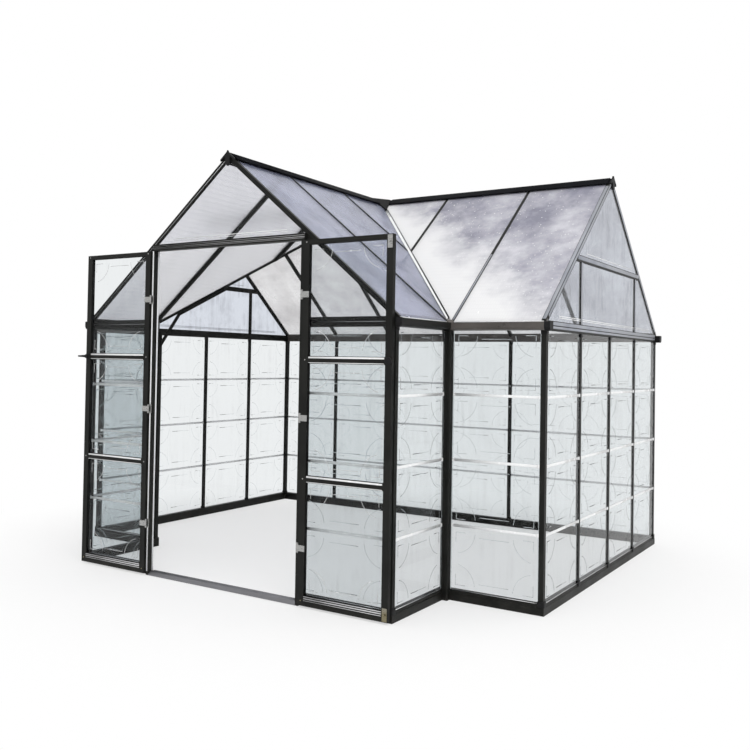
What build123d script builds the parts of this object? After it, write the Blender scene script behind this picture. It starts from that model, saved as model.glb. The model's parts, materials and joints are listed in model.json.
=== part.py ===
from build123d import *
import os
from math import atan2, cos, hypot, radians, sin, sqrt, tan

# Glass greenhouse on a T-shaped plan, in millimetres.
# X runs left to right along the main ridge, the door side faces -Y, Z is up.
# Three gable-ended arms (left, right, front) of one span meet where the two ridges cross.
# An arm's own frame has X out along its ridge, Y across it, and its zero where the ridges cross.

# Plan and heights
main_width = 3570.0            # outside of one side wall to the other
gable_span = 2370.0            # width of every gable, outside to outside
entry_projection = 600.0       # how far the entry stands in front of the main block
eave_height = 1610.0           # roof plane at the outside of the wall
roof_rise = 980.0              # eave line up to ridge line

# Glazing slots
lip = 3.0                      # metal in front of a wall pane
slot_width = 4.0
bite = 9.0                     # depth of a slot
pane_thickness = 3.6
edge_gap = 0.5                 # between a pane's edge and the end of its slot
pane_parts = 4                 # stacked panes in each wall bay
joint_height = 14.0            # clear strip that joins two stacked panes
joint_proud = 1.6
joint_side_gap = 2.0

# Wall frame
frame_depth = 16.0             # depth of studs, sills, ties and eave beams
post_size = 30.0
stud_width = 28.0
base_height = 62.0
base_depth = 36.0
skirt_height = 46.0
skirt_proud = 6.0
skirt_bevel = 5.0
sill_height = 56.0
tie_height = 40.0
tie_drop = 22.0                # underside of the door header below where stud and rafter would meet
side_tie_drop = 55.0           # ties of the side gables below the door header
valley_cover = 18.0            # outside width of an inner corner post
groove_width = 4.0             # line along the outside of sills, ties and gable rafters
groove_depth = 2.0
bays_per_gable = 4

# Gutter on the outside of the eave beam
gutter_reach = 38.0
gutter_wall = 3.0
gutter_lip_height = 46.0
gutter_round = 16.0
gutter_cap_proud = 3.0
side_cap_thickness = 34.0
side_cap_inset = 12.0          # how far a side cap laps the end of its beam
entry_cap_thickness = 16.0
entry_cap_clear = 3.0          # an entry cap starts this far outside the wall, clear of the open door

# Roof
roof_pane = 6.0
roof_slot = 7.0
roof_pane_gap = 0.4            # under a roof pane
roof_drip = 14.0               # how far the roof panes pass the outside of the wall
bar_width = 18.0
bar_web = 6.0
bar_cap = 3.0
bar_depth = 22.0
rafter_depth = 18.0
rafter_cap_width = 24.0
rafter_web = 10.0
ridge_body = 36.0              # width of the beam under the ridge wings
ridge_drop = 48.0              # its underside below the ridge line
ridge_wing = 50.0              # level reach of each wing from the ridge line
ridge_wing_thickness = 3.0
wing_gap = 0.4
ridge_cap_thickness = 12.0
ridge_cap_proud = 4.0
ridge_cap_point = 14.0         # how far the end cap comes to a point under the ridge beam
ridge_peak = 15.0
ridge_peak_width = 12.0
hood_front = 130.0             # reach of the cap over the crossing, along the entry ridge
hood_side = 80.0               # along the main ridge
hood_tongue = 112.0            # out over each valley, from each ridge
hood_back = 48.0               # down the back slope, level
hood_thickness = 4.0
valley_flange = 30.0
valley_sheet = 3.0
valley_rib_width = 24.0
valley_rib_depth = 42.0
valley_gap = 20.0              # from the valley line to the roof panes, level and along the eave
valley_seat = 0.2
inner_bar_shift = 36.0         # roof bar beside a valley, outside the line of the inner posts

# Knee braces from the inner posts up to the valleys
brace_width = 16.0
brace_depth = 12.0
brace_reach = 122.0            # how far the head stands in from each wall
brace_drop = 165.0             # foot below the eave

# Doors
post_width = 20.0              # door post
post_proud = 25.0              # how far the door posts and header stand in front of the wall
door_post_shift = 1.5          # outside edge of a door post beyond the first bay line
hinge_inset = 1.0              # hinge axis inside that edge
axis_front = 11.0              # hinge axis in front of the door post
leaf_close_gap = 9.0           # door post to a closed leaf
leaf_depth = 26.0
leaf_hinge_gap = 8.0           # hinge axis to the edge of the leaf
meeting_gap = 8.0              # between the closed leaves
leaf_bottom = 10.0
leaf_top_gap = 3.0             # top of a leaf below the underside of the header
stile_width = 40.0
top_rail = 26.0
middle_rail = 36.0
bottom_rail = 56.0
leaf_panes = 3
leaf_joint = 0.4               # hairline between a rail and its stiles
threshold_height = 22.0
threshold_depth = 58.0
threshold_bevel = 14.0

# Hinges
hinge_shares = (0.155, 0.51, 0.85)  # places of the hinges along the height of a leaf
pin_radius = 2.5
pin_gap = 0.3
knuckle_radius = 5.5
knuckle_gap = 0.5
hinge_height = 54.0
hinge_plate = 2.0
hinge_plate_width = 18.0
hinge_arm = 4.0
door_plate_width = 42.0
door_plate_height = 34.0

# Latch and bolts
rose_radius = 20.0
rose_depth = 9.0
spindle_radius = 6.0
spindle_gap = 0.3
hub_radius = 12.0
hub_depth = 13.0
hub_seat = 0.3
lever_depth = 7.0
lever_reach = 76.0
lever_root = 17.0
lever_tip = 9.0
bolt_width = 30.0
bolt_height = 70.0
bolt_depth = 3.0
bolt_inset = 4.0
bolt_knob_radius = 6.0
bolt_knob_depth = 7.0

overrun = 200.0                # how far a blank passes the plane that trims it

# Sizes that follow from those above
half_span = gable_span / 2
side_arm = main_width / 2
front_arm = half_span + entry_projection
pitch = atan2(roof_rise, half_span)
slope = tan(pitch)
lean_sin = sin(pitch)
lean_cos = cos(pitch)
ridge_height = eave_height + roof_rise
beam_bottom = eave_height - sill_height
bay = gable_span / bays_per_gable
stud_web = stud_width - 2 * bite
slot_gap = (slot_width - pane_thickness) / 2
slot_back = lip + slot_width
pane_face = lip + slot_gap
pane_back = pane_face + pane_thickness
pane_edge = bite - edge_gap
valley_bite = lip - edge_gap   # the two slots of an inner corner must not meet
valley_edge = valley_bite - edge_gap
half_ridge = ridge_body / 2
half_stud = stud_width / 2
door_post_edge = bay + door_post_shift
hinge_x = door_post_edge - hinge_inset
door_post_inner = door_post_edge - post_width
leaf_width = hinge_x - leaf_hinge_gap - meeting_gap / 2
leaf_fold = axis_front - leaf_close_gap
latch_depth = rose_depth + hub_seat + hub_depth
front_reach = post_proud + axis_front + leaf_fold + latch_depth
depth_total = front_reach + front_arm + half_span + gutter_reach + gutter_cap_proud
front_y = front_reach - depth_total / 2
junction_y = front_y + front_arm
header_height = ridge_height - (bay + half_stud) * slope - rafter_depth / lean_cos - tie_drop
tie_top = header_height + tie_height
side_tie_low = header_height - side_tie_drop
inner_bar_along = 2 * bay + inner_bar_shift
slope_normal = Vector(0, -lean_sin, lean_cos)
slope_up = Vector(0, lean_cos, lean_sin)
eave_line = Vector(0, -half_span, eave_height)
arm_turns = {"right": 0, "front": -90, "left": 180}
roof_top = roof_slot + bar_cap


def polygon(points):
    return make_face(Polyline(*points, close=True))


def upright(points, bottom, top):
    return Pos(0, 0, bottom) * extrude(polygon(points), amount=top - bottom)


def block(x_from, x_to, y_from, y_to, bottom, top):
    return upright([(x_from, y_from), (x_to, y_from), (x_to, y_to), (x_from, y_to)], bottom, top)


def run(section, start, end, up):
    # Carries a section (outward, up) from start to end; outward is to the right of the way.
    way = (Vector(*end) - Vector(*start)).normalized()
    out = way.cross(Vector(*up))
    plane = Plane(origin=Vector(*end), x_dir=out, z_dir=way * -1)
    length = (Vector(*end) - Vector(*start)).length
    return extrude(plane * polygon(section), amount=length)


def trim(shape, point, away):
    # Takes off what lies on the far side of a plane.
    return split(shape, bisect_by=Plane(origin=Vector(*point), z_dir=Vector(*away)), keep=Keep.BOTTOM)


def wall_run(section, start, end, level, start_turn, end_turn):
    # A horizontal run along a wall. Its ends are square (0), mitred for an inner corner (1)
    # or mitred for an outer corner (-1).
    a = Vector(start[0], start[1], level)
    b = Vector(end[0], end[1], level)
    way = (b - a).normalized()
    out = way.cross(Vector(0, 0, 1))
    piece = run(section, a - way * overrun, b + way * overrun, (0, 0, 1))
    piece = trim(piece, a, out * start_turn - way)
    return trim(piece, b, out * end_turn + way)


def on_arm(shape, arm):
    return Pos(0, junction_y, 0) * Rot(0, 0, arm_turns[arm]) * shape


def other_side(shape):
    return mirror(shape, about=Plane.XZ)


def both_sides(shape):
    return [shape, other_side(shape)]


def left_and_right(shape):
    return [shape, mirror(shape, about=Plane.YZ)]


def on_sides(shape):
    # A piece of the right arm and its copy on the left arm.
    return left_and_right(on_arm(shape, "right"))


def slope_section(width, bottom, top):
    return [(-width / 2, bottom), (width / 2, bottom), (width / 2, top), (-width / 2, top)]


# Sections, as (outward, up), zero at the outside of the wall

def slotted_box(depth, height, slot_below, slot_above):
    groove_low = (height - groove_width) / 2
    groove_high = groove_low + groove_width
    points = [(0, 0), (0, groove_low), (-groove_depth, groove_low), (-groove_depth, groove_high)]
    points += [(0, groove_high), (0, height)]
    if slot_above:
        points += [(-lip, height), (-lip, height - bite), (-slot_back, height - bite), (-slot_back, height)]
    points += [(-depth, height), (-depth, 0)]
    if slot_below:
        points += [(-slot_back, 0), (-slot_back, bite), (-lip, bite), (-lip, 0)]
    return points


base_section = [
    (skirt_proud, 0), (skirt_proud, skirt_height - skirt_bevel), (0, skirt_height), (0, base_height),
    (-lip, base_height), (-lip, base_height - bite), (-slot_back, base_height - bite),
    (-slot_back, base_height), (-base_depth, base_height), (-base_depth, 0),
]

gutter_turn = gutter_round * sin(radians(45))
eave_section = [
    (0, sill_height - valley_seat), (0, gutter_wall), (gutter_reach - gutter_round, gutter_wall),
    (gutter_reach - gutter_round + gutter_turn - gutter_wall, gutter_round - gutter_turn + gutter_wall),
    (gutter_reach - gutter_wall, gutter_round + gutter_wall), (gutter_reach - gutter_wall, gutter_lip_height),
    (gutter_reach, gutter_lip_height), (gutter_reach, gutter_round),
    (gutter_reach - gutter_round + gutter_turn, gutter_round - gutter_turn),
    (gutter_reach - gutter_round, 0), (-lip, 0), (-lip, bite), (-slot_back, bite), (-slot_back, 0),
    (-frame_depth, 0), (-frame_depth, sill_height + frame_depth * slope - valley_seat),
]


def gutter_cap_section(start):
    # The outline of a cap, from its inner edge out round the gutter.
    return [
        (start, -gutter_cap_proud), (gutter_reach - gutter_round, -gutter_cap_proud),
        (gutter_reach - gutter_round + gutter_turn, gutter_round - gutter_turn - gutter_cap_proud),
        (gutter_reach + gutter_cap_proud, gutter_round), (gutter_reach + gutter_cap_proud, gutter_lip_height),
        (gutter_reach - gutter_cap_proud, gutter_lip_height + gutter_cap_proud),
        (start, gutter_lip_height + gutter_cap_proud),
    ]


sill_section = slotted_box(frame_depth, sill_height, True, True)
tie_section = slotted_box(frame_depth, tie_height, True, True)
header_section = slotted_box(frame_depth, tie_height, False, True)


# Upright members, drawn in plan with the wall running along X and its outside at y = 0

def stud_plan():
    body = half_stud
    neck = stud_web / 2
    return [
        (-body, 0), (-body, lip), (-neck, lip), (-neck, slot_back), (-body, slot_back),
        (-body, frame_depth), (body, frame_depth), (body, slot_back), (neck, slot_back),
        (neck, lip), (body, lip), (body, 0),
    ]


def door_post_plan():
    return [
        (door_post_inner, -post_proud), (door_post_edge, -post_proud), (door_post_edge, lip),
        (door_post_edge - bite, lip), (door_post_edge - bite, slot_back), (door_post_edge, slot_back),
        (door_post_edge, frame_depth), (door_post_inner, frame_depth),
    ]


def corner_post_plan():
    # Outer corner at zero, walls leaving along +X and +Y.
    return [
        (0, 0), (post_size, 0), (post_size, lip), (post_size - bite, lip), (post_size - bite, slot_back),
        (post_size, slot_back), (post_size, post_size), (slot_back, post_size),
        (slot_back, post_size - bite), (lip, post_size - bite), (lip, post_size), (0, post_size),
    ]


def valley_post_plan():
    # Inner corner at zero, one wall leaving along +X, the other along -Y, both with the inside behind.
    return [
        (0, 0), (0, lip), (-valley_bite, lip), (-valley_bite, slot_back), (0, slot_back), (0, post_size),
        (-post_size, post_size), (-post_size, 0), (-slot_back, 0), (-slot_back, valley_bite),
        (-lip, valley_bite), (-lip, 0),
    ]


def stud(across, bottom, top):
    # A stud of the right arm's gable wall.
    return Pos(side_arm, across, 0) * Rot(0, 0, 90) * upright(stud_plan(), bottom, top)


def wall_pane(start, end):
    # A stack of panes in one bay, with the clear strips between them.
    bottom = base_height - pane_edge
    top = beam_bottom + pane_edge
    sheet = [(-pane_face, bottom), (-pane_face, top), (-pane_back, top), (-pane_back, bottom)]
    way = (Vector(*end) - Vector(*start)).normalized()
    inset = way * (bite + joint_side_gap)
    piece = run(sheet, (start[0], start[1], 0), (end[0], end[1], 0), (0, 0, 1))
    for part in range(1, pane_parts):
        middle = bottom + (top - bottom) * part / pane_parts
        strip = [
            (-pane_face + joint_proud, middle - joint_height / 2),
            (-pane_face + joint_proud, middle + joint_height / 2),
            (-pane_back - joint_proud, middle + joint_height / 2),
            (-pane_back - joint_proud, middle - joint_height / 2),
        ]
        first = Vector(start[0], start[1], 0) + inset
        last = Vector(end[0], end[1], 0) - inset
        piece = piece + run(strip, first, last, (0, 0, 1))
    return piece


def gable_pane(points, length):
    plane = Plane(origin=(length - pane_back, 0, 0), x_dir=(0, 1, 0), z_dir=(1, 0, 0))
    return extrude(plane * polygon(points), amount=pane_thickness)


# Roof members, drawn on the slope that falls towards -Y of an arm

def slope_run(section, along):
    start = eave_line + Vector(along, 0, 0) - slope_up * overrun
    end = eave_line + Vector(along, 0, 0) + slope_up * (hypot(half_span, roof_rise) + overrun)
    return run(section, start, end, slope_normal)


def trim_eave(shape, inside):
    return trim(shape, (0, inside - half_span, 0), (0, -1, 0))


def trim_ridge(shape, gap):
    return trim(shape, (0, -half_ridge - gap, 0), (0, 1, 0))


def trim_valley(shape):
    return trim(shape, (valley_gap, 0, 0), (-1, -1, 0))


# The valley's own directions: along it, level across it towards the arm, and up square to both
valley_way = Vector(-half_span, half_span, roof_rise).normalized()
valley_across = Vector(1, 1, 0).normalized()
valley_up = valley_across.cross(valley_way)
flange_lean = lean_sin / sqrt(2)
flange_rise = sqrt(1 - flange_lean ** 2)
flange_way = valley_across * flange_rise + valley_up * flange_lean
valley_foot = Vector(half_span, -half_span, eave_height)


def trim_flange(shape):
    edge = valley_foot + flange_way * valley_flange
    return trim(shape, edge, flange_way * -1)


def roof_bar(along, meets_valley):
    body = slope_run(slope_section(bar_width, -bar_depth, 0), along)
    web = slope_run(slope_section(bar_web, 0, roof_slot), along)
    cap = slope_run(slope_section(bar_width, roof_slot, roof_top), along)
    body = trim_ridge(trim_eave(body, frame_depth), 0)
    upper = trim_ridge(trim_eave(web + cap, -roof_drip), 0)
    if meets_valley:
        body = trim_flange(body)
        upper = trim_valley(upper)
    return body + upper


def roof_sheet(first, last, meets_valley):
    # A roof pane between two lines up the slope.
    low = roof_pane_gap
    high = roof_pane_gap + roof_pane
    section = [(first, low), (last, low), (last, high), (first, high)]
    sheet = slope_run(section, 0)
    sheet = trim_ridge(trim_eave(sheet, -roof_drip), edge_gap)
    if meets_valley:
        sheet = trim_valley(sheet)
    return sheet


def gable_rafter(length):
    groove_high = -lip
    groove_low = groove_high - groove_width
    lower = [
        (0, -rafter_depth), (0, groove_low), (-groove_depth, groove_low), (-groove_depth, groove_high),
        (0, groove_high), (0, 0), (-frame_depth, 0), (-frame_depth, -rafter_depth),
        (-slot_back, -rafter_depth), (-slot_back, bite - rafter_depth), (-lip, bite - rafter_depth),
        (-lip, -rafter_depth),
    ]
    upper = [
        (0, 0), (0, roof_top), (-rafter_cap_width, roof_top), (-rafter_cap_width, roof_slot),
        (-rafter_web, roof_slot), (-rafter_web, 0),
    ]
    body = trim_ridge(trim_eave(slope_run(lower, length), frame_depth), 0)
    body = trim(body, (0, 0, eave_height), (0, 0, -1))
    return body + trim_ridge(trim_eave(slope_run(upper, length), -roof_drip), 0)


def under_rafters(shape):
    # Fits a piece of a gable under both of its rafters.
    for side in (1, -1):
        away = Vector(0, -side * lean_sin, lean_cos)
        point = Vector(0, -side * half_span, eave_height) - away * rafter_depth
        shape = trim(shape, point, away)
    return shape


def ridge_profile(bottom, top, reach):
    # Half of a pair of roof wings lying between two heights over the roof plane.
    rise_low = ridge_height + bottom / lean_cos
    rise_high = ridge_height + top / lean_cos
    thickness = top - bottom
    end = (reach, rise_high - reach * slope)
    return rise_low, rise_high, end, (end[0] - thickness * lean_sin, end[1] - thickness * lean_cos)


def mirrored(points):
    # Closes a half outline, given from the top down to the foot, with its other half.
    return points + [(-x, z) for x, z in reversed(points) if x]


def ridge_run(points, start, end):
    # Carries an outline (across, up) along an arm's ridge.
    plane = Plane(origin=(start, 0, 0), x_dir=(0, 1, 0), z_dir=(1, 0, 0))
    return extrude(plane * polygon(points), amount=end - start)


wing_bottom = roof_top + wing_gap
wing_top = wing_bottom + ridge_wing_thickness
wing_low, wing_high, wing_end, wing_end_low = ridge_profile(wing_bottom, wing_top, ridge_wing)
ridge_points = mirrored([
    (0, wing_high), wing_end, wing_end_low, (half_ridge, wing_low - half_ridge * slope),
    (half_ridge, ridge_height - ridge_drop),
])
end_cap_points = mirrored([
    (0, wing_high + ridge_peak), (ridge_peak_width / 2, wing_high + ridge_cap_proud),
    (wing_end[0] + ridge_cap_proud, wing_end[1] + ridge_cap_proud),
    (wing_end[0] + ridge_cap_proud, wing_end_low[1] - ridge_cap_proud),
    (half_ridge, wing_low - half_ridge * slope - ridge_cap_proud),
    (half_ridge, ridge_height - ridge_drop), (0, ridge_height - ridge_drop - ridge_cap_point),
])


def front_wedge():
    # Room the front arm takes out of what lies along the main ridge.
    far = hood_front + ridge_wing
    return upright([(0, 0), (far, -far), (-far, -far)], 0, ridge_height + overrun)


def between_valleys(shape):
    shape = trim(shape, (0, 0, 0), (-1, 1, 0))
    return trim(shape, (0, 0, 0), (-1, -1, 0))


nodes = {}

# Base rails
return_start = (half_span, -half_span)
right_front = (side_arm, -half_span)
right_back = (side_arm, half_span)
left_back = (-side_arm, half_span)
side_return_rail = wall_run(base_section, return_start, right_front, 0, 1, -1)
gable_rail = wall_run(base_section, right_front, right_back, 0, -1, -1)
back_rail = wall_run(base_section, right_back, left_back, 0, -1, -1)
entry_return_rail = wall_run(base_section, return_start, (front_arm, -half_span), 0, 1, -1)
entry_front_rail = wall_run(
    base_section, (front_arm, -half_span), (front_arm, -door_post_edge), 0, -1, 0)
nodes["base_rails_front"] = on_sides(side_return_rail)
nodes["base_rails_sides"] = on_sides(gable_rail)
nodes["base_rail_back"] = [on_arm(back_rail, "right")]
nodes["base_rails_entry_sides"] = [on_arm(rail, "front") for rail in both_sides(entry_return_rail)]
nodes["base_rails_entry_front"] = [on_arm(rail, "front") for rail in both_sides(entry_front_rail)]

# Posts and studs
corner_post = upright(corner_post_plan(), base_height, beam_bottom)
right_front_post = Pos(side_arm, -half_span, 0) * mirror(corner_post, about=Plane.YZ)
right_back_post = other_side(right_front_post)
nodes["corner_posts"] = on_sides(right_front_post) + on_sides(right_back_post)
entry_post = Pos(half_span, front_y, 0) * mirror(corner_post, about=Plane.YZ)
nodes["entry_corner_posts"] = left_and_right(entry_post)
valley_post = upright(valley_post_plan(), base_height, beam_bottom)
valley_post += upright([(-lip, 0), (0, -lip), (lip, 0), (0, lip)], base_height, beam_bottom)
valley_post += block(0, valley_cover, -valley_cover, 0, skirt_height, beam_bottom)
valley_post += block(skirt_proud, valley_cover, -valley_cover, -skirt_proud, 0, skirt_height)
valley_post = Pos(half_span, -half_span, 0) * valley_post
nodes["valley_posts"] = on_sides(valley_post)
door_post = Pos(0, front_y, 0) * upright(door_post_plan(), 0, header_height)
nodes["door_posts"] = left_and_right(door_post)
stud_steps = [bay * step - half_span for step in range(1, bays_per_gable)]
nodes["side_wall_studs"] = []
for across in stud_steps:
    nodes["side_wall_studs"] += on_sides(stud(across, base_height, beam_bottom))
back_steps = [bay * step for step in range(-2, 3)]
back_stud = Rot(0, 0, 180) * upright(stud_plan(), base_height, beam_bottom)
nodes["back_wall_studs"] = [Pos(x, junction_y + half_span, 0) * back_stud for x in back_steps]

# Eave beams with their gutters
side_return_eave = wall_run(eave_section, return_start, right_front, beam_bottom, 1, 0)
entry_return_eave = wall_run(eave_section, return_start, (front_arm, -half_span), beam_bottom, 1, 0)
nodes["front_gutters"] = on_sides(side_return_eave)
nodes["entry_gutters"] = [on_arm(beam, "front") for beam in both_sides(entry_return_eave)]
nodes["back_gutter"] = [on_arm(wall_run(eave_section, right_back, left_back, beam_bottom, 0, 0), "right")]


def gutter_cap(start, length, thickness):
    return run(gutter_cap_section(start), (length, -half_span, beam_bottom),
               (length + thickness, -half_span, beam_bottom), (0, 0, 1))


side_caps = both_sides(gutter_cap(-side_cap_inset, side_arm, side_cap_thickness))
entry_caps = both_sides(gutter_cap(entry_cap_clear, front_arm, entry_cap_thickness))
nodes["gutter_end_caps"] = on_sides(side_caps[0]) + on_sides(side_caps[1])
nodes["gutter_end_caps"] += [on_arm(cap, "front") for cap in entry_caps]

# Gables
inner_eave = half_span - frame_depth
side_sill = wall_run(sill_section, (side_arm, -inner_eave), (side_arm, inner_eave), beam_bottom, 0, 0)
nodes["side_gable_sills"] = on_sides(side_sill)
entry_sill = wall_run(sill_section, (front_arm, -inner_eave), (front_arm, -door_post_edge), beam_bottom, 0, 0)
nodes["entry_gable_sills"] = [on_arm(sill, "front") for sill in both_sides(entry_sill)]
side_tie = under_rafters(
    wall_run(tie_section, (side_arm, -half_span), (side_arm, half_span), side_tie_low, 0, 0))
nodes["side_gable_ties"] = on_sides(side_tie)
header = under_rafters(
    wall_run(header_section, (front_arm, -half_span), (front_arm, half_span), header_height, 0, 0))
post_face = front_y - post_proud
groove_low = (header_height + tie_top - groove_width) / 2
header_face = block(-door_post_edge, door_post_edge, post_face, front_y, header_height, tie_top)
header_face -= block(-door_post_edge, door_post_edge, post_face, post_face + groove_depth,
                     groove_low, groove_low + groove_width)
nodes["door_header"] = [on_arm(header, "front") + header_face]
nodes["side_gable_studs"] = []
for across in (-bay, bay):
    nodes["side_gable_studs"] += on_sides(stud(across, eave_height, side_tie_low))
nodes["side_gable_rafters"] = on_sides(gable_rafter(side_arm)) + on_sides(other_side(gable_rafter(side_arm)))
nodes["entry_gable_rafters"] = [on_arm(bar, "front") for bar in both_sides(gable_rafter(front_arm))]

# Ridges
main_ridge = ridge_run(ridge_points, -side_arm, side_arm) - trim_ridge(front_wedge(), 0)
entry_ridge = trim(between_valleys(ridge_run(ridge_points, 0, front_arm)), (half_ridge, 0, 0), (-1, 0, 0))
nodes["main_ridge"] = [on_arm(main_ridge, "right")]
nodes["entry_ridge"] = [on_arm(entry_ridge, "front")]

# Hood over the crossing: a flat top, a back slope and a facet down to each valley
hood_top = wing_high + hood_thickness / lean_cos
hood_low = ridge_height - hood_tongue * slope + (wing_top + wing_gap + hood_thickness) / lean_cos
hood_corner = Vector(0, -hood_front, hood_top)
hood = upright([
    (0, -hood_front), (hood_tongue, -hood_tongue), (hood_side, 0), (hood_side, hood_back),
    (-hood_side, hood_back), (-hood_side, 0), (-hood_tongue, -hood_tongue),
], ridge_height - hood_tongue * slope, hood_top)
for side in (1, -1):
    along = Vector(side * hood_side, 0, hood_top) - hood_corner
    down = Vector(side * hood_tongue, -hood_tongue, hood_low) - hood_corner
    hood = trim(hood, hood_corner, down.cross(along) * side)
hood = trim(hood, (0, 0, hood_top), (0, lean_sin, lean_cos))
pane_high = roof_pane + 2 * roof_pane_gap
step_low, step_high, step_end, step_end_low = ridge_profile(
    pane_high, wing_top + wing_gap, ridge_wing + wing_gap)
far_out = ridge_wing + overrun
hood_room = mirrored([
    (0, step_high), step_end, (step_end[0], step_low - step_end[0] * slope),
    (far_out, step_low - far_out * slope),
])
hood -= ridge_run(hood_room, -overrun, overrun) - front_wedge()
hood -= Rot(0, 0, arm_turns["front"]) * between_valleys(ridge_run(hood_room, 0, overrun))
nodes["ridge_crossing_cap"] = [on_arm(hood, "right")]
side_end_cap = ridge_run(end_cap_points, side_arm, side_arm + ridge_cap_thickness)
entry_end_cap = ridge_run(end_cap_points, front_arm, front_arm + ridge_cap_thickness)
nodes["ridge_end_caps"] = on_sides(side_end_cap) + [on_arm(entry_end_cap, "front")]

# Valleys
flange_tip = (valley_flange * flange_rise, valley_flange * flange_lean)
flange_under = (flange_tip[0] + valley_sheet * flange_lean, flange_tip[1] - valley_sheet * flange_rise)
rib_half = valley_rib_width / 2
rib_top = (rib_half * flange_lean - valley_sheet) / flange_rise
valley_points = mirrored([
    (0, 0), flange_tip, flange_under, (rib_half, rib_top), (rib_half, -valley_rib_depth),
])
valley_points = [(x, z - valley_seat) for x, z in valley_points]
valley = run(valley_points, valley_foot - valley_way * overrun,
             Vector(0, 0, ridge_height) + valley_way * overrun, valley_up)
valley = trim(valley, (inner_eave, -inner_eave, 0), (1, -1, 0))
valley = trim(trim(valley, (0, -half_ridge, 0), (0, 1, 0)), (half_ridge, 0, 0), (-1, 0, 0))
nodes["valley_rafters"] = on_sides(valley)

# Knee braces, each notched over the corner of its post and cut off under the valley
brace_foot = Vector(half_span - post_size / 2, post_size / 2 - half_span, eave_height - brace_drop)
brace_head = Vector(half_span - brace_reach, brace_reach - half_span, eave_height + brace_reach * slope)
brace_up = valley_across.cross((brace_head - brace_foot).normalized())
brace = run(slope_section(brace_width, -brace_depth / 2, brace_depth / 2), brace_foot, brace_head, brace_up)
brace = trim(brace, valley_foot - valley_up * (valley_rib_depth + valley_seat), valley_up)
brace -= block(half_span - post_size, half_span, -half_span, post_size - half_span, 0, beam_bottom)
nodes["valley_braces"] = on_sides(brace)

# Roof bars
jack_bar = roof_bar(bay, True)
inner_bar = roof_bar(inner_bar_along, True)
nodes["front_roof_bars"] = on_sides(jack_bar) + on_sides(inner_bar)
nodes["entry_roof_bars"] = []
for bar in both_sides(jack_bar) + both_sides(inner_bar):
    nodes["entry_roof_bars"].append(on_arm(bar, "front"))
nodes["back_roof_bars"] = [on_arm(other_side(roof_bar(x, False)), "right") for x in back_steps]

# Roof panes
bar_side = bar_web / 2 + edge_gap
rafter_side = rafter_web + edge_gap


def arm_sheets(length):
    return [
        roof_sheet(0, bay - bar_side, True),
        roof_sheet(bay + bar_side, inner_bar_along - bar_side, True),
        roof_sheet(inner_bar_along + bar_side, length - rafter_side, True),
    ]


nodes["front_roof_panes"] = []
for sheet in arm_sheets(side_arm):
    nodes["front_roof_panes"] += on_sides(sheet)
nodes["entry_roof_panes"] = []
for sheet in arm_sheets(front_arm):
    nodes["entry_roof_panes"] += [on_arm(half, "front") for half in both_sides(sheet)]
back_edges = [-side_arm + rafter_side - bar_side] + back_steps + [side_arm - rafter_side + bar_side]
nodes["back_roof_panes"] = []
for first, last in zip(back_edges, back_edges[1:]):
    sheet = roof_sheet(first + bar_side, last - bar_side, False)
    nodes["back_roof_panes"].append(on_arm(other_side(sheet), "right"))

# Wall panes
post_hold = post_size - pane_edge
stud_hold = half_stud - pane_edge
side_return_pane = wall_pane((half_span - valley_edge, -half_span), (side_arm - post_hold, -half_span))
entry_return_pane = wall_pane((half_span - valley_edge, -half_span), (front_arm - post_hold, -half_span))
nodes["front_wall_panes"] = on_sides(side_return_pane)
nodes["entry_side_panes"] = [on_arm(pane, "front") for pane in both_sides(entry_return_pane)]
entry_front_pane = wall_pane((front_arm, -half_span + post_hold), (front_arm, -door_post_edge + pane_edge))
nodes["entry_front_panes"] = [on_arm(pane, "front") for pane in both_sides(entry_front_pane)]
side_edges = [post_hold - stud_hold - half_span] + stud_steps + [half_span - post_hold + stud_hold]
nodes["side_wall_panes"] = []
for first, last in zip(side_edges, side_edges[1:]):
    pane = wall_pane((side_arm, first + stud_hold), (side_arm, last - stud_hold))
    nodes["side_wall_panes"] += on_sides(pane)
wall_edges = [post_hold - stud_hold - side_arm] + back_steps + [side_arm - post_hold + stud_hold]
nodes["back_wall_panes"] = []
for first, last in zip(wall_edges, wall_edges[1:]):
    pane = wall_pane((last - stud_hold, half_span), (first + stud_hold, half_span))
    nodes["back_wall_panes"].append(on_arm(pane, "right"))

# Gable panes
pane_top_drop = (rafter_depth - pane_edge) / lean_cos
gable_low = eave_height - pane_edge
gable_high = side_tie_low + pane_edge
peak_high = ridge_height - ridge_drop - edge_gap


def rafter_reach(height):
    # How far from the middle a pane may come at a height.
    return (ridge_height - pane_top_drop - height) / slope


def corner_pane(inner, high, length):
    outer = inner_eave - edge_gap
    outer_high = ridge_height - pane_top_drop - outer * slope
    return gable_pane([
        (-outer, gable_low), (-inner, gable_low), (-inner, high), (-rafter_reach(high), high),
        (-outer, outer_high),
    ], length)


def peak_pane(low, length):
    return gable_pane([
        (-rafter_reach(low), low), (rafter_reach(low), low),
        (rafter_reach(peak_high), peak_high), (-rafter_reach(peak_high), peak_high),
    ], length)


middle_half = bay - stud_hold
middle_pane = gable_pane([
    (-middle_half, gable_low), (middle_half, gable_low),
    (middle_half, gable_high), (-middle_half, gable_high),
], side_arm)
side_corner_pane = corner_pane(bay + stud_hold, gable_high, side_arm)
side_peak_pane = peak_pane(side_tie_low + tie_height - pane_edge, side_arm)
nodes["side_gable_panes"] = on_sides(middle_pane) + on_sides(side_peak_pane)
nodes["side_gable_panes"] += on_sides(side_corner_pane) + on_sides(other_side(side_corner_pane))
entry_corner_pane = corner_pane(door_post_edge - pane_edge, header_height - edge_gap, front_arm)
nodes["entry_gable_panes"] = [on_arm(pane, "front") for pane in both_sides(entry_corner_pane)]
nodes["entry_gable_panes"].append(on_arm(peak_pane(tie_top - pane_edge, front_arm), "front"))

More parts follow.
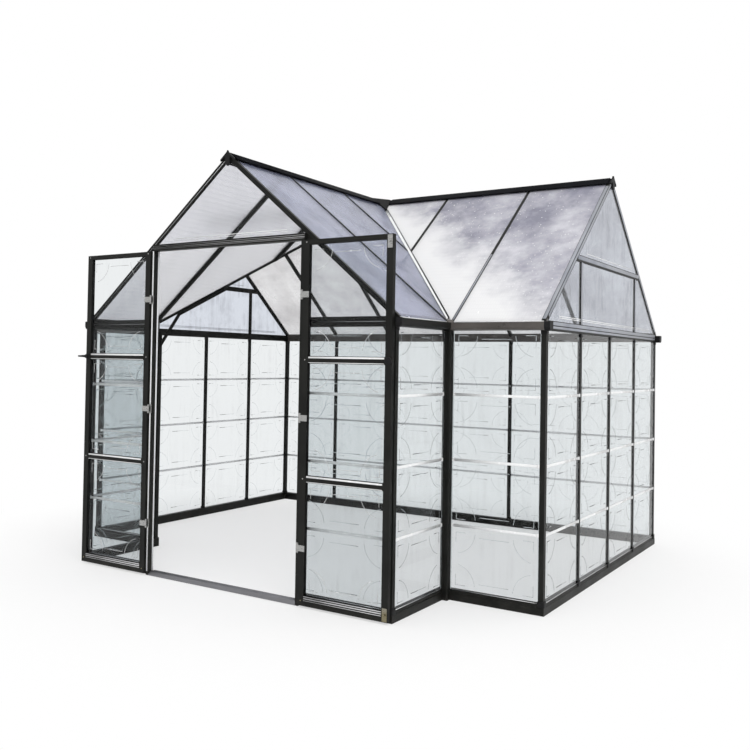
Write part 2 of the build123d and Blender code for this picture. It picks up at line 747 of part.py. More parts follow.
# Threshold
threshold_section = [
    (post_proud, 0), (post_proud, threshold_height - threshold_bevel),
    (post_proud - threshold_bevel, threshold_height), (post_proud - threshold_depth, threshold_height),
    (post_proud - threshold_depth, 0),
]
threshold = wall_run(threshold_section, (-door_post_inner, front_y), (door_post_inner, front_y), 0, 0, 0)
nodes["door_threshold"] = [threshold]

# Door leaves, drawn for the right side as they stand open
axis_y = post_face - axis_front
leaf_start = hinge_x + leaf_hinge_gap
leaf_end = leaf_start + leaf_width
leaf_front = axis_y - leaf_fold
leaf_back = leaf_front + leaf_depth
leaf_middle = leaf_front + leaf_depth / 2
leaf_top = header_height - leaf_top_gap
half_slot = slot_width / 2


def stile(edge, inward):
    inner = edge + stile_width * inward
    points = [
        (edge, leaf_front), (inner, leaf_front), (inner, leaf_middle - half_slot),
        (inner - bite * inward, leaf_middle - half_slot), (inner - bite * inward, leaf_middle + half_slot),
        (inner, leaf_middle + half_slot), (inner, leaf_back), (edge, leaf_back),
    ]
    return upright(points, leaf_bottom, leaf_top)


def rail(bottom, top, slot_below, slot_above):
    half = leaf_depth / 2
    points = [(half, bottom), (half, top)]
    if slot_above:
        points += [(half_slot, top), (half_slot, top - bite), (-half_slot, top - bite), (-half_slot, top)]
    points += [(-half, top), (-half, bottom)]
    if slot_below:
        points += [(-half_slot, bottom), (-half_slot, bottom + bite)]
        points += [(half_slot, bottom + bite), (half_slot, bottom)]
    start = (leaf_start + stile_width + leaf_joint, leaf_middle, 0)
    end = (leaf_end - stile_width - leaf_joint, leaf_middle, 0)
    return run(points, start, end, (0, 0, 1))


glass_low = leaf_bottom + bottom_rail
glass_high = leaf_top - top_rail
glass_step = (glass_high - glass_low + middle_rail) / leaf_panes
leaf_frame = [stile(leaf_start, 1), stile(leaf_end, -1)]
leaf_frame += [rail(leaf_bottom, glass_low, False, True), rail(glass_high, leaf_top, True, False)]
leaf_glass = []
for part in range(leaf_panes):
    bottom = glass_low + glass_step * part
    top = bottom + glass_step - middle_rail
    if part:
        leaf_frame.append(rail(bottom - middle_rail, bottom, True, True))
    half = pane_thickness / 2
    low = bottom - pane_edge
    high = top + pane_edge
    sheet = [(half, low), (half, high), (-half, high), (-half, low)]
    start = (leaf_start + stile_width - pane_edge, leaf_middle, 0)
    end = (leaf_end - stile_width + pane_edge, leaf_middle, 0)
    leaf_glass.append(run(sheet, start, end, (0, 0, 1)))
nodes["right_door_frame"] = leaf_frame
nodes["left_door_frame"] = [mirror(piece, about=Plane.YZ) for piece in leaf_frame]
nodes["right_door_panes"] = leaf_glass
nodes["left_door_panes"] = [mirror(piece, about=Plane.YZ) for piece in leaf_glass]


def drum(radius, bottom, top):
    return Pos(hinge_x, axis_y, bottom) * extrude(Circle(radius), amount=top - bottom)


def hinge_pair(share):
    # The half on the post with its pin, and the half on the door that turns on it.
    height = leaf_bottom + (leaf_top - leaf_bottom) * share
    low = height - hinge_height / 2
    high = height + hinge_height / 2
    door_low = height - door_plate_height / 2
    door_high = height + door_plate_height / 2
    fixed = block(hinge_x - hinge_plate_width, hinge_x, post_face - hinge_plate, post_face, low, high)
    for bottom, top in ((low, door_low - knuckle_gap), (door_high + knuckle_gap, high)):
        fixed += block(hinge_x - hinge_arm, hinge_x, axis_y, post_face - hinge_plate / 2, bottom, top)
        fixed += drum(knuckle_radius, bottom, top)
    fixed += drum(pin_radius, low, high)
    plate_face = leaf_front - hinge_plate
    moving = block(hinge_x, leaf_start + door_plate_width, plate_face, leaf_front, door_low, door_high)
    moving += drum(knuckle_radius, door_low, door_high)
    moving -= drum(pin_radius + pin_gap, door_low - overrun, door_high + overrun)
    return fixed, moving


hinge_pairs = [hinge_pair(share) for share in hinge_shares]
nodes["door_hinge_posts"] = []
for fixed, moving in hinge_pairs:
    nodes["door_hinge_posts"] += left_and_right(fixed)
nodes["right_door_hinges"] = [moving for fixed, moving in hinge_pairs]
nodes["left_door_hinges"] = [mirror(moving, about=Plane.YZ) for fixed, moving in hinge_pairs]

# Latch: a rose on each leaf, and a lever that turns on the left one
latch_x = leaf_end - stile_width / 2
latch_height = glass_high - glass_step + middle_rail / 2
latch_plane = Plane(origin=(latch_x, leaf_front, latch_height), x_dir=(1, 0, 0), z_dir=(0, -1, 0))
right_rose = extrude(latch_plane * Circle(rose_radius), amount=rose_depth)
right_rose = fillet(right_rose.edges().sort_by(Axis.Y)[0], rose_depth / 3)
nodes["right_door_rose"] = [right_rose]
left_latch_plane = Plane(origin=(-latch_x, leaf_front, latch_height), x_dir=(-1, 0, 0), z_dir=(0, -1, 0))
left_rose = extrude(left_latch_plane * Circle(rose_radius), amount=rose_depth)
left_rose = fillet(left_rose.edges().sort_by(Axis.Y)[0], rose_depth / 3)
left_rose += extrude(left_latch_plane * Circle(spindle_radius), amount=latch_depth)
nodes["left_door_rose"] = [left_rose]
lever_plane = left_latch_plane.offset(rose_depth + hub_seat)
lever = extrude(lever_plane * Circle(hub_radius), amount=hub_depth)
root = lever_root / 2
tip = lever_tip / 2
blade = polygon([(0, -root), (lever_reach, -tip), (lever_reach, tip), (0, root)])
lever += extrude(lever_plane.offset(hub_depth - lever_depth) * blade, amount=lever_depth)
lever -= extrude(lever_plane * Circle(spindle_radius + spindle_gap), amount=overrun)
nodes["left_door_lever"] = [lever]


def bolt(bottom):
    right = leaf_end - bolt_inset
    left = right - bolt_width
    plate = block(left, right, leaf_front - bolt_depth, leaf_front, bottom, bottom + bolt_height)
    spot = Plane(origin=(right - bolt_width / 2, leaf_front - bolt_depth, bottom + bolt_height / 2),
                 x_dir=(1, 0, 0), z_dir=(0, -1, 0))
    return plate + extrude(spot * Circle(bolt_knob_radius), amount=bolt_knob_depth)


nodes["right_door_bolts"] = [bolt(leaf_bottom + bolt_inset), bolt(leaf_top - bolt_inset - bolt_height)]

os.makedirs("parts", exist_ok=True)
for name, solids in nodes.items():
    bodies = [solid for piece in solids for solid in piece.solids()]
    export_step(Compound(bodies), "parts/" + name + ".step")
    print(name, len(bodies))
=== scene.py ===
import bpy
import bmesh
import json
import numpy as np
from mathutils import Matrix, Vector


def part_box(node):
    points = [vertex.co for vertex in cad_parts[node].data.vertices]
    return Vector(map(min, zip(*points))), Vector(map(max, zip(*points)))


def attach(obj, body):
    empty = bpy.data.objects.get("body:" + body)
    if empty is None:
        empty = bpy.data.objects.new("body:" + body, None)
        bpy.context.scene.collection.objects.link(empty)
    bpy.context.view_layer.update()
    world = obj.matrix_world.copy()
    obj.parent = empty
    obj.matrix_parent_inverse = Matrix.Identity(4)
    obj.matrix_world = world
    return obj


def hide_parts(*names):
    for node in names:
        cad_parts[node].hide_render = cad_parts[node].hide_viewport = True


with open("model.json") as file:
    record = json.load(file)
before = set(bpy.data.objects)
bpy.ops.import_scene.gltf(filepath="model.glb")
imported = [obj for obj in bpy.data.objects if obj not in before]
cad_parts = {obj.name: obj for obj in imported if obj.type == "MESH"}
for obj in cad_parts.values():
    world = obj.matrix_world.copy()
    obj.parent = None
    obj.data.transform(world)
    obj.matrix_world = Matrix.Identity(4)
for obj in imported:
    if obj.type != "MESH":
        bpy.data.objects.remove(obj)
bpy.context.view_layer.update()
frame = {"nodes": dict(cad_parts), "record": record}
nodes = frame["nodes"]
print("frame loaded:", len(nodes), "nodes")


# View, floor and light

viewSettings = {
    "place": (3.487, -5.45125, 1.366),  # metres, in the frame of the CAD
    "yaw": -0.5724,
    "pitch": 0.0204,
    "roll": 0.0171,
    "lens": 41.917,
    "shift": (0.0273, -0.0419),  # the photo's own crop
    "floorTone": 0.9,
    "floorGlow": 0.55,  # share of the floor that is plain white near the object
    "whiteFrom": 1.6,  # metres from the middle where the floor starts to turn white
    "whiteAt": 3.3,
    "floorRadius": 70.0,
    "floorDrop": 0.002,  # keeps the floor clear of the part's foot
    "daylight": 0.94,  # how strongly the surround lights the object
    "lampPower": 250.0,
    "lampSize": 6.0,
    "lampPlace": (5.0, -5.0, 7.0),
    "lampAim": (0.0, 0.0, 1.2),
    "sensor": 36.0,
    "farthest": 200.0,
}


def addCamera(s):
    # Forward from yaw and pitch, then right and up turned about it by the roll.
    yaw, pitch, roll = s["yaw"], s["pitch"], s["roll"]
    forward = Vector((np.sin(yaw) * np.cos(pitch), np.cos(yaw) * np.cos(pitch), np.sin(pitch)))
    right = Vector((np.cos(yaw), -np.sin(yaw), 0.0))
    up = right.cross(forward)
    turnedRight = right * np.cos(roll) + up * np.sin(roll)
    turnedUp = up * np.cos(roll) - right * np.sin(roll)
    data = bpy.data.cameras.new("viewCamera")
    data.lens = s["lens"]
    data.sensor_width = s["sensor"]
    data.shift_x, data.shift_y = s["shift"]
    data.clip_end = s["farthest"]
    camera = bpy.data.objects.new("viewCamera", data)
    axes = Matrix((turnedRight, turnedUp, -forward)).transposed().to_4x4()
    camera.matrix_world = Matrix.Translation(s["place"]) @ axes
    bpy.context.scene.collection.objects.link(camera)
    bpy.context.scene.camera = camera


def addNode(tree, kind, inputs=None, **settings):
    node = tree.nodes.new("ShaderNode" + kind)
    for key, value in settings.items():
        setattr(node, key, value)
    for socket, value in (inputs or {}).items():
        if isinstance(value, bpy.types.NodeSocket):
            tree.links.new(value, node.inputs[socket])
        else:
            node.inputs[socket].default_value = value
    return node


def mathOf(tree, operation, *values):
    return addNode(tree, "Math", dict(enumerate(values)), operation=operation).outputs[0]


def rampOf(tree, value, low, high, toLow=0.0, toHigh=1.0):
    return addNode(tree, "MapRange", {"Value": value, "From Min": low, "From Max": high, "To Min": toLow,
                                      "To Max": toHigh}).outputs["Result"]


def newFinish(name, **sockets):
    material = bpy.data.materials.new(name)
    material.use_nodes = True
    tree = material.node_tree
    shader = tree.nodes["Principled BSDF"]
    for socket, value in sockets.items():
        shader.inputs[socket.replace("_", " ")].default_value = value
    place = addNode(tree, "TexCoord").outputs["Object"]
    return material, tree, shader, place


def seenRays(tree):
    # One for rays that show the surround itself: from the camera, off gloss, through panes.
    path = addNode(tree, "LightPath").outputs
    direct = mathOf(tree, "MAXIMUM", path["Is Camera Ray"], path["Is Glossy Ray"])
    return mathOf(tree, "MAXIMUM", direct, path["Is Transmission Ray"])


def addSurround(s):
    world = bpy.data.worlds.new("studio")
    bpy.context.scene.world = world
    world.use_nodes = True
    tree = world.node_tree
    background = tree.nodes["Background"]
    background.inputs["Color"].default_value = (1.0, 1.0, 1.0, 1.0)
    strength = rampOf(tree, seenRays(tree), 0.0, 1.0, s["daylight"])
    tree.links.new(strength, background.inputs["Strength"])

    # Floor: point (r, a) of a disc, r growing as a square so the rings are close near the middle
    turns, count = 64, 14
    radius = (np.arange(1, count + 1) / count) ** 2 * s["floorRadius"]
    angle = np.arange(turns) * 2 * np.pi / turns
    rings = radius[:, None, None] * np.stack([np.cos(angle), np.sin(angle), 0 * angle], -1)
    spots = np.concatenate([np.zeros((1, 3)), rings.reshape(-1, 3)]) - [0, 0, s["floorDrop"]]
    around = np.arange(turns)
    after = (around + 1) % turns
    inner = np.stack([0 * around, 1 + around, 1 + after], -1)
    start = 1 + turns * np.arange(count - 1)[:, None]
    bands = np.stack([start + around, start + turns + around, start + turns + after, start + after], -1)
    mesh = bpy.data.meshes.new("studioFloor")
    mesh.from_pydata(spots.tolist(), [], inner.tolist() + bands.reshape(-1, 4).tolist())
    floor = bpy.data.objects.new("studioFloor", mesh)
    bpy.context.scene.collection.objects.link(floor)

    tone = (s["floorTone"],) * 3 + (1.0,)
    paint, tree, shader, place = newFinish("studioFloorPaint", Base_Color=tone, Roughness=1.0, Specular_IOR_Level=0.0)
    away = addNode(tree, "VectorMath", {0: place}, operation="LENGTH")
    share = addNode(tree, "MapRange", {"Value": away.outputs["Value"], "From Min": s["whiteFrom"],
                                       "From Max": s["whiteAt"], "To Min": s["floorGlow"], "To Max": 1.0},
                    interpolation_type="SMOOTHSTEP")
    seen = mathOf(tree, "MULTIPLY", share.outputs["Result"], seenRays(tree))
    white = addNode(tree, "Emission", {"Color": (1.0, 1.0, 1.0, 1.0), "Strength": 1.0})
    mix = addNode(tree, "MixShader", {0: seen, 1: shader.outputs[0], 2: white.outputs[0]})
    tree.links.new(mix.outputs[0], tree.nodes["Material Output"].inputs["Surface"])
    mesh.materials.append(paint)

    lamp = bpy.data.lights.new("softKey", "AREA")
    lamp.energy = s["lampPower"]
    lamp.size = s["lampSize"]
    key = bpy.data.objects.new("softKey", lamp)
    key.location = s["lampPlace"]
    aim = Vector(s["lampAim"]) - key.location
    key.rotation_euler = aim.to_track_quat("-Z", "Y").to_euler()
    bpy.context.scene.collection.objects.link(key)


addCamera(viewSettings)
addSurround(viewSettings)
bpy.context.scene.view_settings.view_transform = "Standard"
print("camera, floor and light set")


# Finishes

def noiseAt(tree, place, scale, detail=3.0, roughness=0.5, stretch=None):
    if stretch is not None:
        place = addNode(tree, "Mapping", {"Vector": place, "Scale": stretch}).outputs["Vector"]
    return addNode(tree, "TexNoise", {"Vector": place, "Scale": scale, "Detail": detail,
                                      "Roughness": roughness}).outputs["Fac"]


def blendOf(tree, share, first, second):
    return addNode(tree, "Mix", {0: share, 6: first, 7: second}, data_type="RGBA").outputs[2]


def wire(tree, shader, colour, rough, height=None, bump=None):
    # Tone, gloss and, where there is any, relief as (strength, distance)
    tree.links.new(colour, shader.inputs["Base Color"])
    tree.links.new(rough, shader.inputs["Roughness"])
    if bump:
        relief = addNode(tree, "Bump", {"Height": height, "Strength": bump[0], "Distance": bump[1]})
        tree.links.new(relief.outputs["Normal"], shader.inputs["Normal"])


noiseLevels = (0.3, 0.7)   # between these lies nearly all of a noise

coatFinishes = {
    "frameMetal": {"dark": (0.0085, 0.0088, 0.0080, 1), "light": (0.0155, 0.0158, 0.0142, 1),
                   "dust": (0.034, 0.032, 0.028, 1), "rough": (0.36, 0.52), "gloss": 0.12},
    "ridgeMetal": {"dark": (0.0050, 0.0053, 0.0065, 1), "light": (0.0095, 0.0100, 0.0120, 1),
                   "dust": (0.03, 0.03, 0.03, 1), "rough": (0.55, 0.7), "gloss": 0.03},
    "gutterMetal": {"dark": (0.060, 0.053, 0.048, 1), "light": (0.105, 0.093, 0.084, 1),
                    "dust": (0.10, 0.09, 0.08, 1), "rough": (0.26, 0.4), "gloss": 0.45},
    # painted sky reflection: a light grey-lilac copy of the frame's coat, for the strips on the side gables and roof
    # bars
    "paintedReflectionMetal": {"dark": (0.27, 0.285, 0.325, 1), "light": (0.36, 0.375, 0.41, 1),
                  "dust": (0.3, 0.3, 0.3, 1), "rough": (0.34, 0.5), "gloss": 0.4},
    "grain": 1400.0, "cloud": 5.0, "patch": 16.0, "dustTop": 0.12, "dustMost": 0.6, "bump": (0.12, 0.0004),
    "cloudLevels": (0.35, 0.65), "patchLevels": (0.42, 0.7),
}


def makeCoat(name, s):
    # Powder coat: fine orange-peel grain, slow clouds of tone, dust that splashes up from the ground
    tone = s[name]
    material, tree, shader, place = newFinish(name, Specular_IOR_Level=tone["gloss"])
    grain = noiseAt(tree, place, s["grain"], 2.0)
    cloud = noiseAt(tree, place, s["cloud"], 4.0)
    colour = blendOf(tree, rampOf(tree, cloud, *s["cloudLevels"]), tone["dark"], tone["light"])
    height = addNode(tree, "SeparateXYZ", {0: place}).outputs["Z"]
    low = rampOf(tree, height, 0.0, s["dustTop"], s["dustMost"], 0.0)
    patch = rampOf(tree, noiseAt(tree, place, s["patch"], 6.0, 0.65), *s["patchLevels"])
    dusty = mathOf(tree, "MULTIPLY", low, patch)
    colour = blendOf(tree, dusty, colour, tone["dust"])
    wire(tree, shader, colour, rampOf(tree, cloud, *noiseLevels, *tone["rough"]), grain, s["bump"])
    return material


capFinish = {"dark": (0.006, 0.006, 0.0065, 1), "light": (0.016, 0.016, 0.017, 1), "gloss": 0.12,
             "grain": 900.0, "cloud": 22.0, "rough": (0.4, 0.56), "bump": (0.2, 0.0004)}


def makeCapPlastic(s):
    # Moulded plastic: a fine grain in gloss and height, over clouds of tone
    material, tree, shader, place = newFinish("capPlastic", Specular_IOR_Level=s["gloss"])
    grain = noiseAt(tree, place, s["grain"], 2.0)
    colour = blendOf(tree, noiseAt(tree, place, s["cloud"]), s["dark"], s["light"])
    wire(tree, shader, colour, rampOf(tree, grain, *noiseLevels, *s["rough"]), grain, s["bump"])
    return material


paneFinishes = {
    "wallPane": {"clear": (0.842, 0.864, 0.872, 1), "veil": (0.75, 0.768, 0.776, 1), "runs": (0.45, 0.75)},
    "gablePane": {"clear": (0.69, 0.725, 0.79, 1), "veil": (0.45, 0.47, 0.52, 1), "runs": (0.36, 0.62)},
    "upperPane": {"clear": (0.94, 0.945, 0.965, 1), "veil": (0.84, 0.845, 0.87, 1), "runs": (0.45, 0.75)},
    "index": 1.16, "veilScale": 7.0, "runScale": 30.0, "runStretch": (1.0, 1.0, 0.08), "dirtRough": 0.12,
    "veilLevels": (0.4, 0.75), "wave": 3.2, "bump": (0.5, 0.0016),
}


def makePane(name, s):
    # Clear sheet with a slow wave in it, a faint veil of dust and dried runs of rain
    tone = s[name]
    material, tree, shader, place = newFinish(name, IOR=s["index"], Transmission_Weight=1.0)
    veil = noiseAt(tree, place, s["veilScale"], 5.0, 0.6)
    runs = noiseAt(tree, place, s["runScale"], 3.0, 0.55, s["runStretch"])
    dirt = mathOf(tree, "MULTIPLY", rampOf(tree, veil, *s["veilLevels"]), rampOf(tree, runs, *tone["runs"]))
    colour, rough = blendOf(tree, dirt, tone["clear"], tone["veil"]), rampOf(tree, dirt, 0.0, 1.0, 0.0, s["dirtRough"])
    wire(tree, shader, colour, rough, noiseAt(tree, place, s["wave"], 1.0), s["bump"])
    return material


roofFinish = {
    "index": 1.25, "cloud": 2.6, "ragged": 0.15, "rough": (0.16, 0.28), "bump": (0.35, 0.0015),
    "ribPitch": 0.016, "crossPitch": 0.024, "ribHeight": 0.12, "plainWhite": (1.0, 1.0, 1.0, 1),
    "dropScale": 54.0, "dropSize": 0.26, "dropFrom": 0.35, "dropEdge": 0.03,
    "raggedLevels": (0.2, 0.8), "ribLevels": (0.3, 1.0), "crossLevels": (0.5, 1.0),
    # white: the levels between which a painted reflection of the bright sky turns the colour white; left: the X between
    # which the painted light on the left side turns from pale to shaded
    # shade and pale: the sheet's tint, with painted reflections of cloud in shade and of bright sky in pale; lean: how
    # far the painted white reaches towards the left end
    "roofPaneMain": {
        "shade": (0.31, 0.31, 0.385, 1), "pale": (0.80, 0.795, 0.84, 1), "low": 0.38, "high": 0.68,
        "white": (2.60, 2.84), "lean": 0.62, "through": 0.36, "across": "X", "left": (1.0, 1.0), "ribShade": 0.05},
    "roofPaneEntry": {
        "shade": (0.37, 0.395, 0.53, 1), "pale": (0.69, 0.72, 0.87, 1), "low": 0.36, "high": 0.64,
        "white": (0.0, 0.1), "lean": 0.0, "through": 0.80, "across": "Y", "left": (-0.02, 0.02), "ribShade": 0.16},
    "roofPaneBack": {
        "shade": (0.66, 0.65, 0.66, 1), "pale": (0.92, 0.915, 0.92, 1), "low": 0.35, "high": 0.65,
        "white": (0.0, 0.1), "lean": 0.0, "through": 0.9, "across": "X", "left": (1.0, 1.0), "ribShade": 0.1},
    # painted light on the left side: its pale colour and how much of it
    "paintedLightLeft": (1.0, 0.995, 1.0, 1), "paintedLightLeftShare": 0.92,
}


def makeRoofPane(name, s):
    # Twin sheet: ribs run up the slope, so they repeat along the axis given as across; beads of rain on top. Its colour
    # mixes the sheet's tint with painted reflections of cloud and bright sky
    tone = s[name]
    material, tree, shader, place = newFinish(name, IOR=s["index"], Transmission_Weight=tone["through"])
    parts = addNode(tree, "SeparateXYZ", {0: place})

    def waveOf(axis, pitch):
        return mathOf(tree, "SINE", mathOf(tree, "MULTIPLY", parts.outputs[axis], 2 * np.pi / pitch))

    rib, cross = waveOf(tone["across"], s["ribPitch"]), waveOf("Z", s["crossPitch"])
    cloud = noiseAt(tree, place, s["cloud"], 7.0, 0.62)
    # painted reflection of clouds: noise mixes the sheet's shaded and pale tints
    tintAndPaintedReflection = rampOf(tree, cloud, tone["low"], tone["high"])
    # painted reflection of the bright sky: the colour turns white towards the eave and towards one end, with a ragged
    # edge
    level = mathOf(tree, "MULTIPLY_ADD", parts.outputs["X"], tone["lean"], parts.outputs["Z"])
    level = mathOf(tree, "ADD", level, rampOf(tree, cloud, *s["raggedLevels"], s["ragged"], -s["ragged"]))
    white = rampOf(tree, level, *tone["white"], 1.0, 0.0)
    tintAndPaintedReflection = mathOf(tree, "MAXIMUM", tintAndPaintedReflection, white)
    colour = blendOf(tree, tintAndPaintedReflection, tone["shade"], tone["pale"])
    colour = blendOf(tree, white, colour, s["plainWhite"])
    # painted light: the left side of the sheet is painted paler
    if tone["left"][0] < tone["left"][1]:
        paintedLeftLight = rampOf(tree, parts.outputs["X"], *tone["left"], s["paintedLightLeftShare"], 0.0)
        colour = blendOf(tree, paintedLeftLight, colour, s["paintedLightLeft"])
    lines = mathOf(tree, "MAXIMUM", rampOf(tree, rib, *s["ribLevels"]), rampOf(tree, cross, *s["crossLevels"]))
    lines = mathOf(tree, "MULTIPLY", lines, tone["ribShade"])
    colour = blendOf(tree, lines, colour, tone["shade"])
    # beads of rain: real bumps, painted white as a glint on each
    beads = addNode(tree, "TexVoronoi", {"Vector": place, "Scale": s["dropScale"]}, feature="F1")
    size = addNode(tree, "SeparateColor", {0: beads.outputs["Color"]}).outputs[0]
    reach = rampOf(tree, size, s["dropFrom"], 1.0, 0.0, s["dropSize"])
    beadAndGlint = rampOf(tree, mathOf(tree, "SUBTRACT", reach, beads.outputs["Distance"]), 0.0, s["dropEdge"])
    colour = blendOf(tree, beadAndGlint, colour, s["plainWhite"])
    height = mathOf(tree, "ADD", beadAndGlint, rampOf(tree, rib, -1.0, 1.0, 0.0, s["ribHeight"]))
    wire(tree, shader, colour, rampOf(tree, cloud, *noiseLevels, *s["rough"]), height, s["bump"])
    return material


metalFinishes = {
    # painted highlights: bright metal for the pale lines on the frame and doors
    "paintedHighlightAluminium": {"colour": (0.72, 0.72, 0.73, 1), "stretch": (0.02, 1.0, 1.0), "rough": (0.28, 0.42), "soil": 0.0},
    "thresholdMetal": {"colour": (0.27, 0.27, 0.285, 1), "stretch": (0.02, 1.0, 1.0), "rough": (0.34, 0.5),
                       "soil": 0.0},
    "hingeSteel": {"colour": (0.46, 0.46, 0.45, 1), "stretch": (0.1, 1.0, 1.0), "rough": (0.22, 0.36), "soil": 0.85},
    "lines": 260.0, "stain": 9.0, "darker": 0.72, "soilTone": (0.20, 0.17, 0.085, 1), "soilLevels": (0.05, 0.14),
    "stainLevels": (0.2, 0.8), "stainLeast": 0.35, "bump": (0.15, 0.0003),
}


def makeBareMetal(name, s):
    # Drawn or rolled metal: fine lines along one axis in both tone and gloss, soiled near the ground
    tone = s[name]
    material, tree, shader, place = newFinish(name, Metallic=1.0)
    lines = noiseAt(tree, place, s["lines"], 3.0, 0.6, tone["stretch"])
    stain = noiseAt(tree, place, s["stain"], 4.0)
    darker = tuple(s["darker"] * c for c in tone["colour"][:3]) + (1,)
    clean = rampOf(tree, stain, *s["stainLevels"], s["stainLeast"])
    share = mathOf(tree, "MULTIPLY", rampOf(tree, lines, *noiseLevels), clean)
    height = addNode(tree, "SeparateXYZ", {0: place}).outputs["Z"]
    soiled = rampOf(tree, height, *s["soilLevels"], tone["soil"], 0.0)
    colour = blendOf(tree, soiled, blendOf(tree, share, darker, tone["colour"]), s["soilTone"])
    wire(tree, shader, colour, rampOf(tree, lines, *noiseLevels, *tone["rough"]), lines, s["bump"])
    return material


jointFinishes = {"paleJointAndHighlightPlastic": 0.1, "reliefAndGlintPlastic": 0.55, "index": 1.4, "mottle": 40.0, "rough": (0.16, 0.3),
                 "dark": (0.90, 0.91, 0.915, 1), "light": (0.98, 0.985, 0.985, 1)}


def makeJointPlastic(name, s):
    # Milky strip between stacked panes, and the clearer relief in the doors; each lets its own share through. Their
    # pale white is partly their own and partly painted highlights and glints
    material, tree, shader, place = newFinish(name, IOR=s["index"], Transmission_Weight=s[name])
    tone = noiseAt(tree, place, s["mottle"], 4.0)
    wire(tree, shader, blendOf(tree, tone, s["dark"], s["light"]), rampOf(tree, tone, *noiseLevels, *s["rough"]))
    return material


frameMetal, ridgeMetal, gutterMetal, paintedReflectionMetal = (
    makeCoat(name, coatFinishes) for name in ("frameMetal", "ridgeMetal", "gutterMetal", "paintedReflectionMetal"))
capPlastic = makeCapPlastic(capFinish)
wallPane, gablePane, upperPane = (makePane(name, paneFinishes) for name in ("wallPane", "gablePane", "upperPane"))
roofMain, roofEntry, roofBack = (makeRoofPane("roofPane" + side, roofFinish) for side in ("Main", "Entry", "Back"))
highlightAluminium, thresholdMetal, hingeSteel = (
    makeBareMetal(name, metalFinishes) for name in ("paintedHighlightAluminium", "thresholdMetal", "hingeSteel"))
paleJointAndHighlightPlastic, reliefAndGlintPlastic = (makeJointPlastic(name, jointFinishes) for name in ("paleJointAndHighlightPlastic", "reliefAndGlintPlastic"))
finishes = {"frame_metal": frameMetal, "cap_plastic": capPlastic, "wall_glazing": wallPane,
            "roof_glazing": roofMain, "bare_aluminium": thresholdMetal, "hinge_steel": hingeSteel}
ownFinishes = {"entry_roof_panes": roofEntry, "back_roof_panes": roofBack, "side_gable_panes": gablePane,
               "entry_gable_panes": upperPane, "main_ridge": ridgeMetal, "entry_ridge": ridgeMetal,
               "front_gutters": gutterMetal, "back_gutter": gutterMetal}
for part in frame["record"]["subparts"]:
    mesh = nodes[part["node"]].data
    mesh.materials.clear()
    mesh.materials.append(ownFinishes.get(part["node"], finishes[part["material_slot"]]))
print("finishes on the CAD nodes")


# Tools for new pieces: every piece is a stack of closed shells, each a grid of rows of points round a section

def addShells(name, grid, finish, body="greenhouse", smooth=True):
    # grid[k, i, j] is point j round section i of shell k; sections are joined in turn and the ends closed.
    grid = np.asarray(grid, float)
    shells, rows, around = grid.shape[:3]
    first = np.arange(shells)[:, None, None] * rows * around
    i = np.arange(rows - 1)[:, None] * around
    j = np.arange(around)
    following = (j + 1) % around
    quads = np.stack([first + i + j, first + i + following, first + i + around + following, first + i + around + j], -1)
    lid = first[:, 0] + j
    ends = np.concatenate([lid, lid + (rows - 1) * around])
    mesh = bpy.data.meshes.new(name)
    mesh.from_pydata(grid.reshape(-1, 3).tolist(), [], quads.reshape(-1, 4).tolist() + ends.tolist())
    shape = bmesh.new()
    shape.from_mesh(mesh)
    bmesh.ops.recalc_face_normals(shape, faces=shape.faces)
    shape.to_mesh(mesh)
    shape.free()
    flags = np.full(len(mesh.polygons), smooth)
    flags[-len(ends):] = False
    mesh.polygons.foreach_set("use_smooth", flags)
    mesh.materials.append(finish)
    piece = bpy.data.objects.new(name, mesh)
    bpy.context.scene.collection.objects.link(piece)
    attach(piece, body)
    return piece


def points(*parts):
    # Coordinates of matching shapes, or single values, put together as points.
    return np.stack(np.broadcast_arrays(*parts), -1)


def unit(v):
    v = np.asarray(v, float)
    return v / np.linalg.norm(v, axis=-1, keepdims=True)


def mirrored(right):
    # A right-hand shell and its image across the middle, with X turned about.
    return np.stack([right, right * [-1.0, 1.0, 1.0]])


def ovalSection(width, height, count, power):
    # Superellipse: cosine and sine of the angle, each raised to a power that squares the corners.
    angle = (np.arange(count) + 0.5) * 2 * np.pi / count
    c, s = np.cos(angle), np.sin(angle)
    return points(np.sign(c) * np.abs(c) ** power * width / 2, np.sign(s) * np.abs(s) ** power * height / 2)


def sheetSection(across, top, sheet):
    # The top edge from one side to the other, then the underside back, one sheet lower.
    return np.concatenate([points(across, top), points(across, top - sheet)[::-1]])


def beadSection(width, height, sink, count=7):
    # Half oval standing on a flat foot that is sunk into what carries it.
    t = np.linspace(0.0, np.pi, count)
    arch = points(np.cos(t) * width / 2, np.sin(t) * height)
    return np.concatenate([[[width / 2, -sink]], arch, [[-width / 2, -sink]]])


def softBlocks(places, along, up, size, count=12, power=0.35, bevel=0.2, rows=4):
    # A squarish oval carried along a short way, drawn in at both ends by a quarter round.
    places, along, up = (np.broadcast_to(np.asarray(a, float), np.shape(places)) for a in (places, along, up))
    side = np.cross(up, along)
    turn = np.linspace(0.0, np.pi / 2, rows)
    reach = bevel * min(size)
    way = size[0] / 2 - reach * (1 - np.sin(turn))
    draw = reach * (1 - np.cos(turn))
    ways, draw = np.concatenate([-way[::-1], way]), np.concatenate([draw[::-1], draw])
    oval = ovalSection(1.0, 1.0, count, power)
    wide = (size[1] - 2 * draw)[:, None] * oval[:, 0]
    tall = (size[2] - 2 * draw)[:, None] * oval[:, 1]
    return (places[:, None, None] + along[:, None, None] * ways[:, None, None]
            + side[:, None, None] * wide[..., None] + up[:, None, None] * tall[..., None])


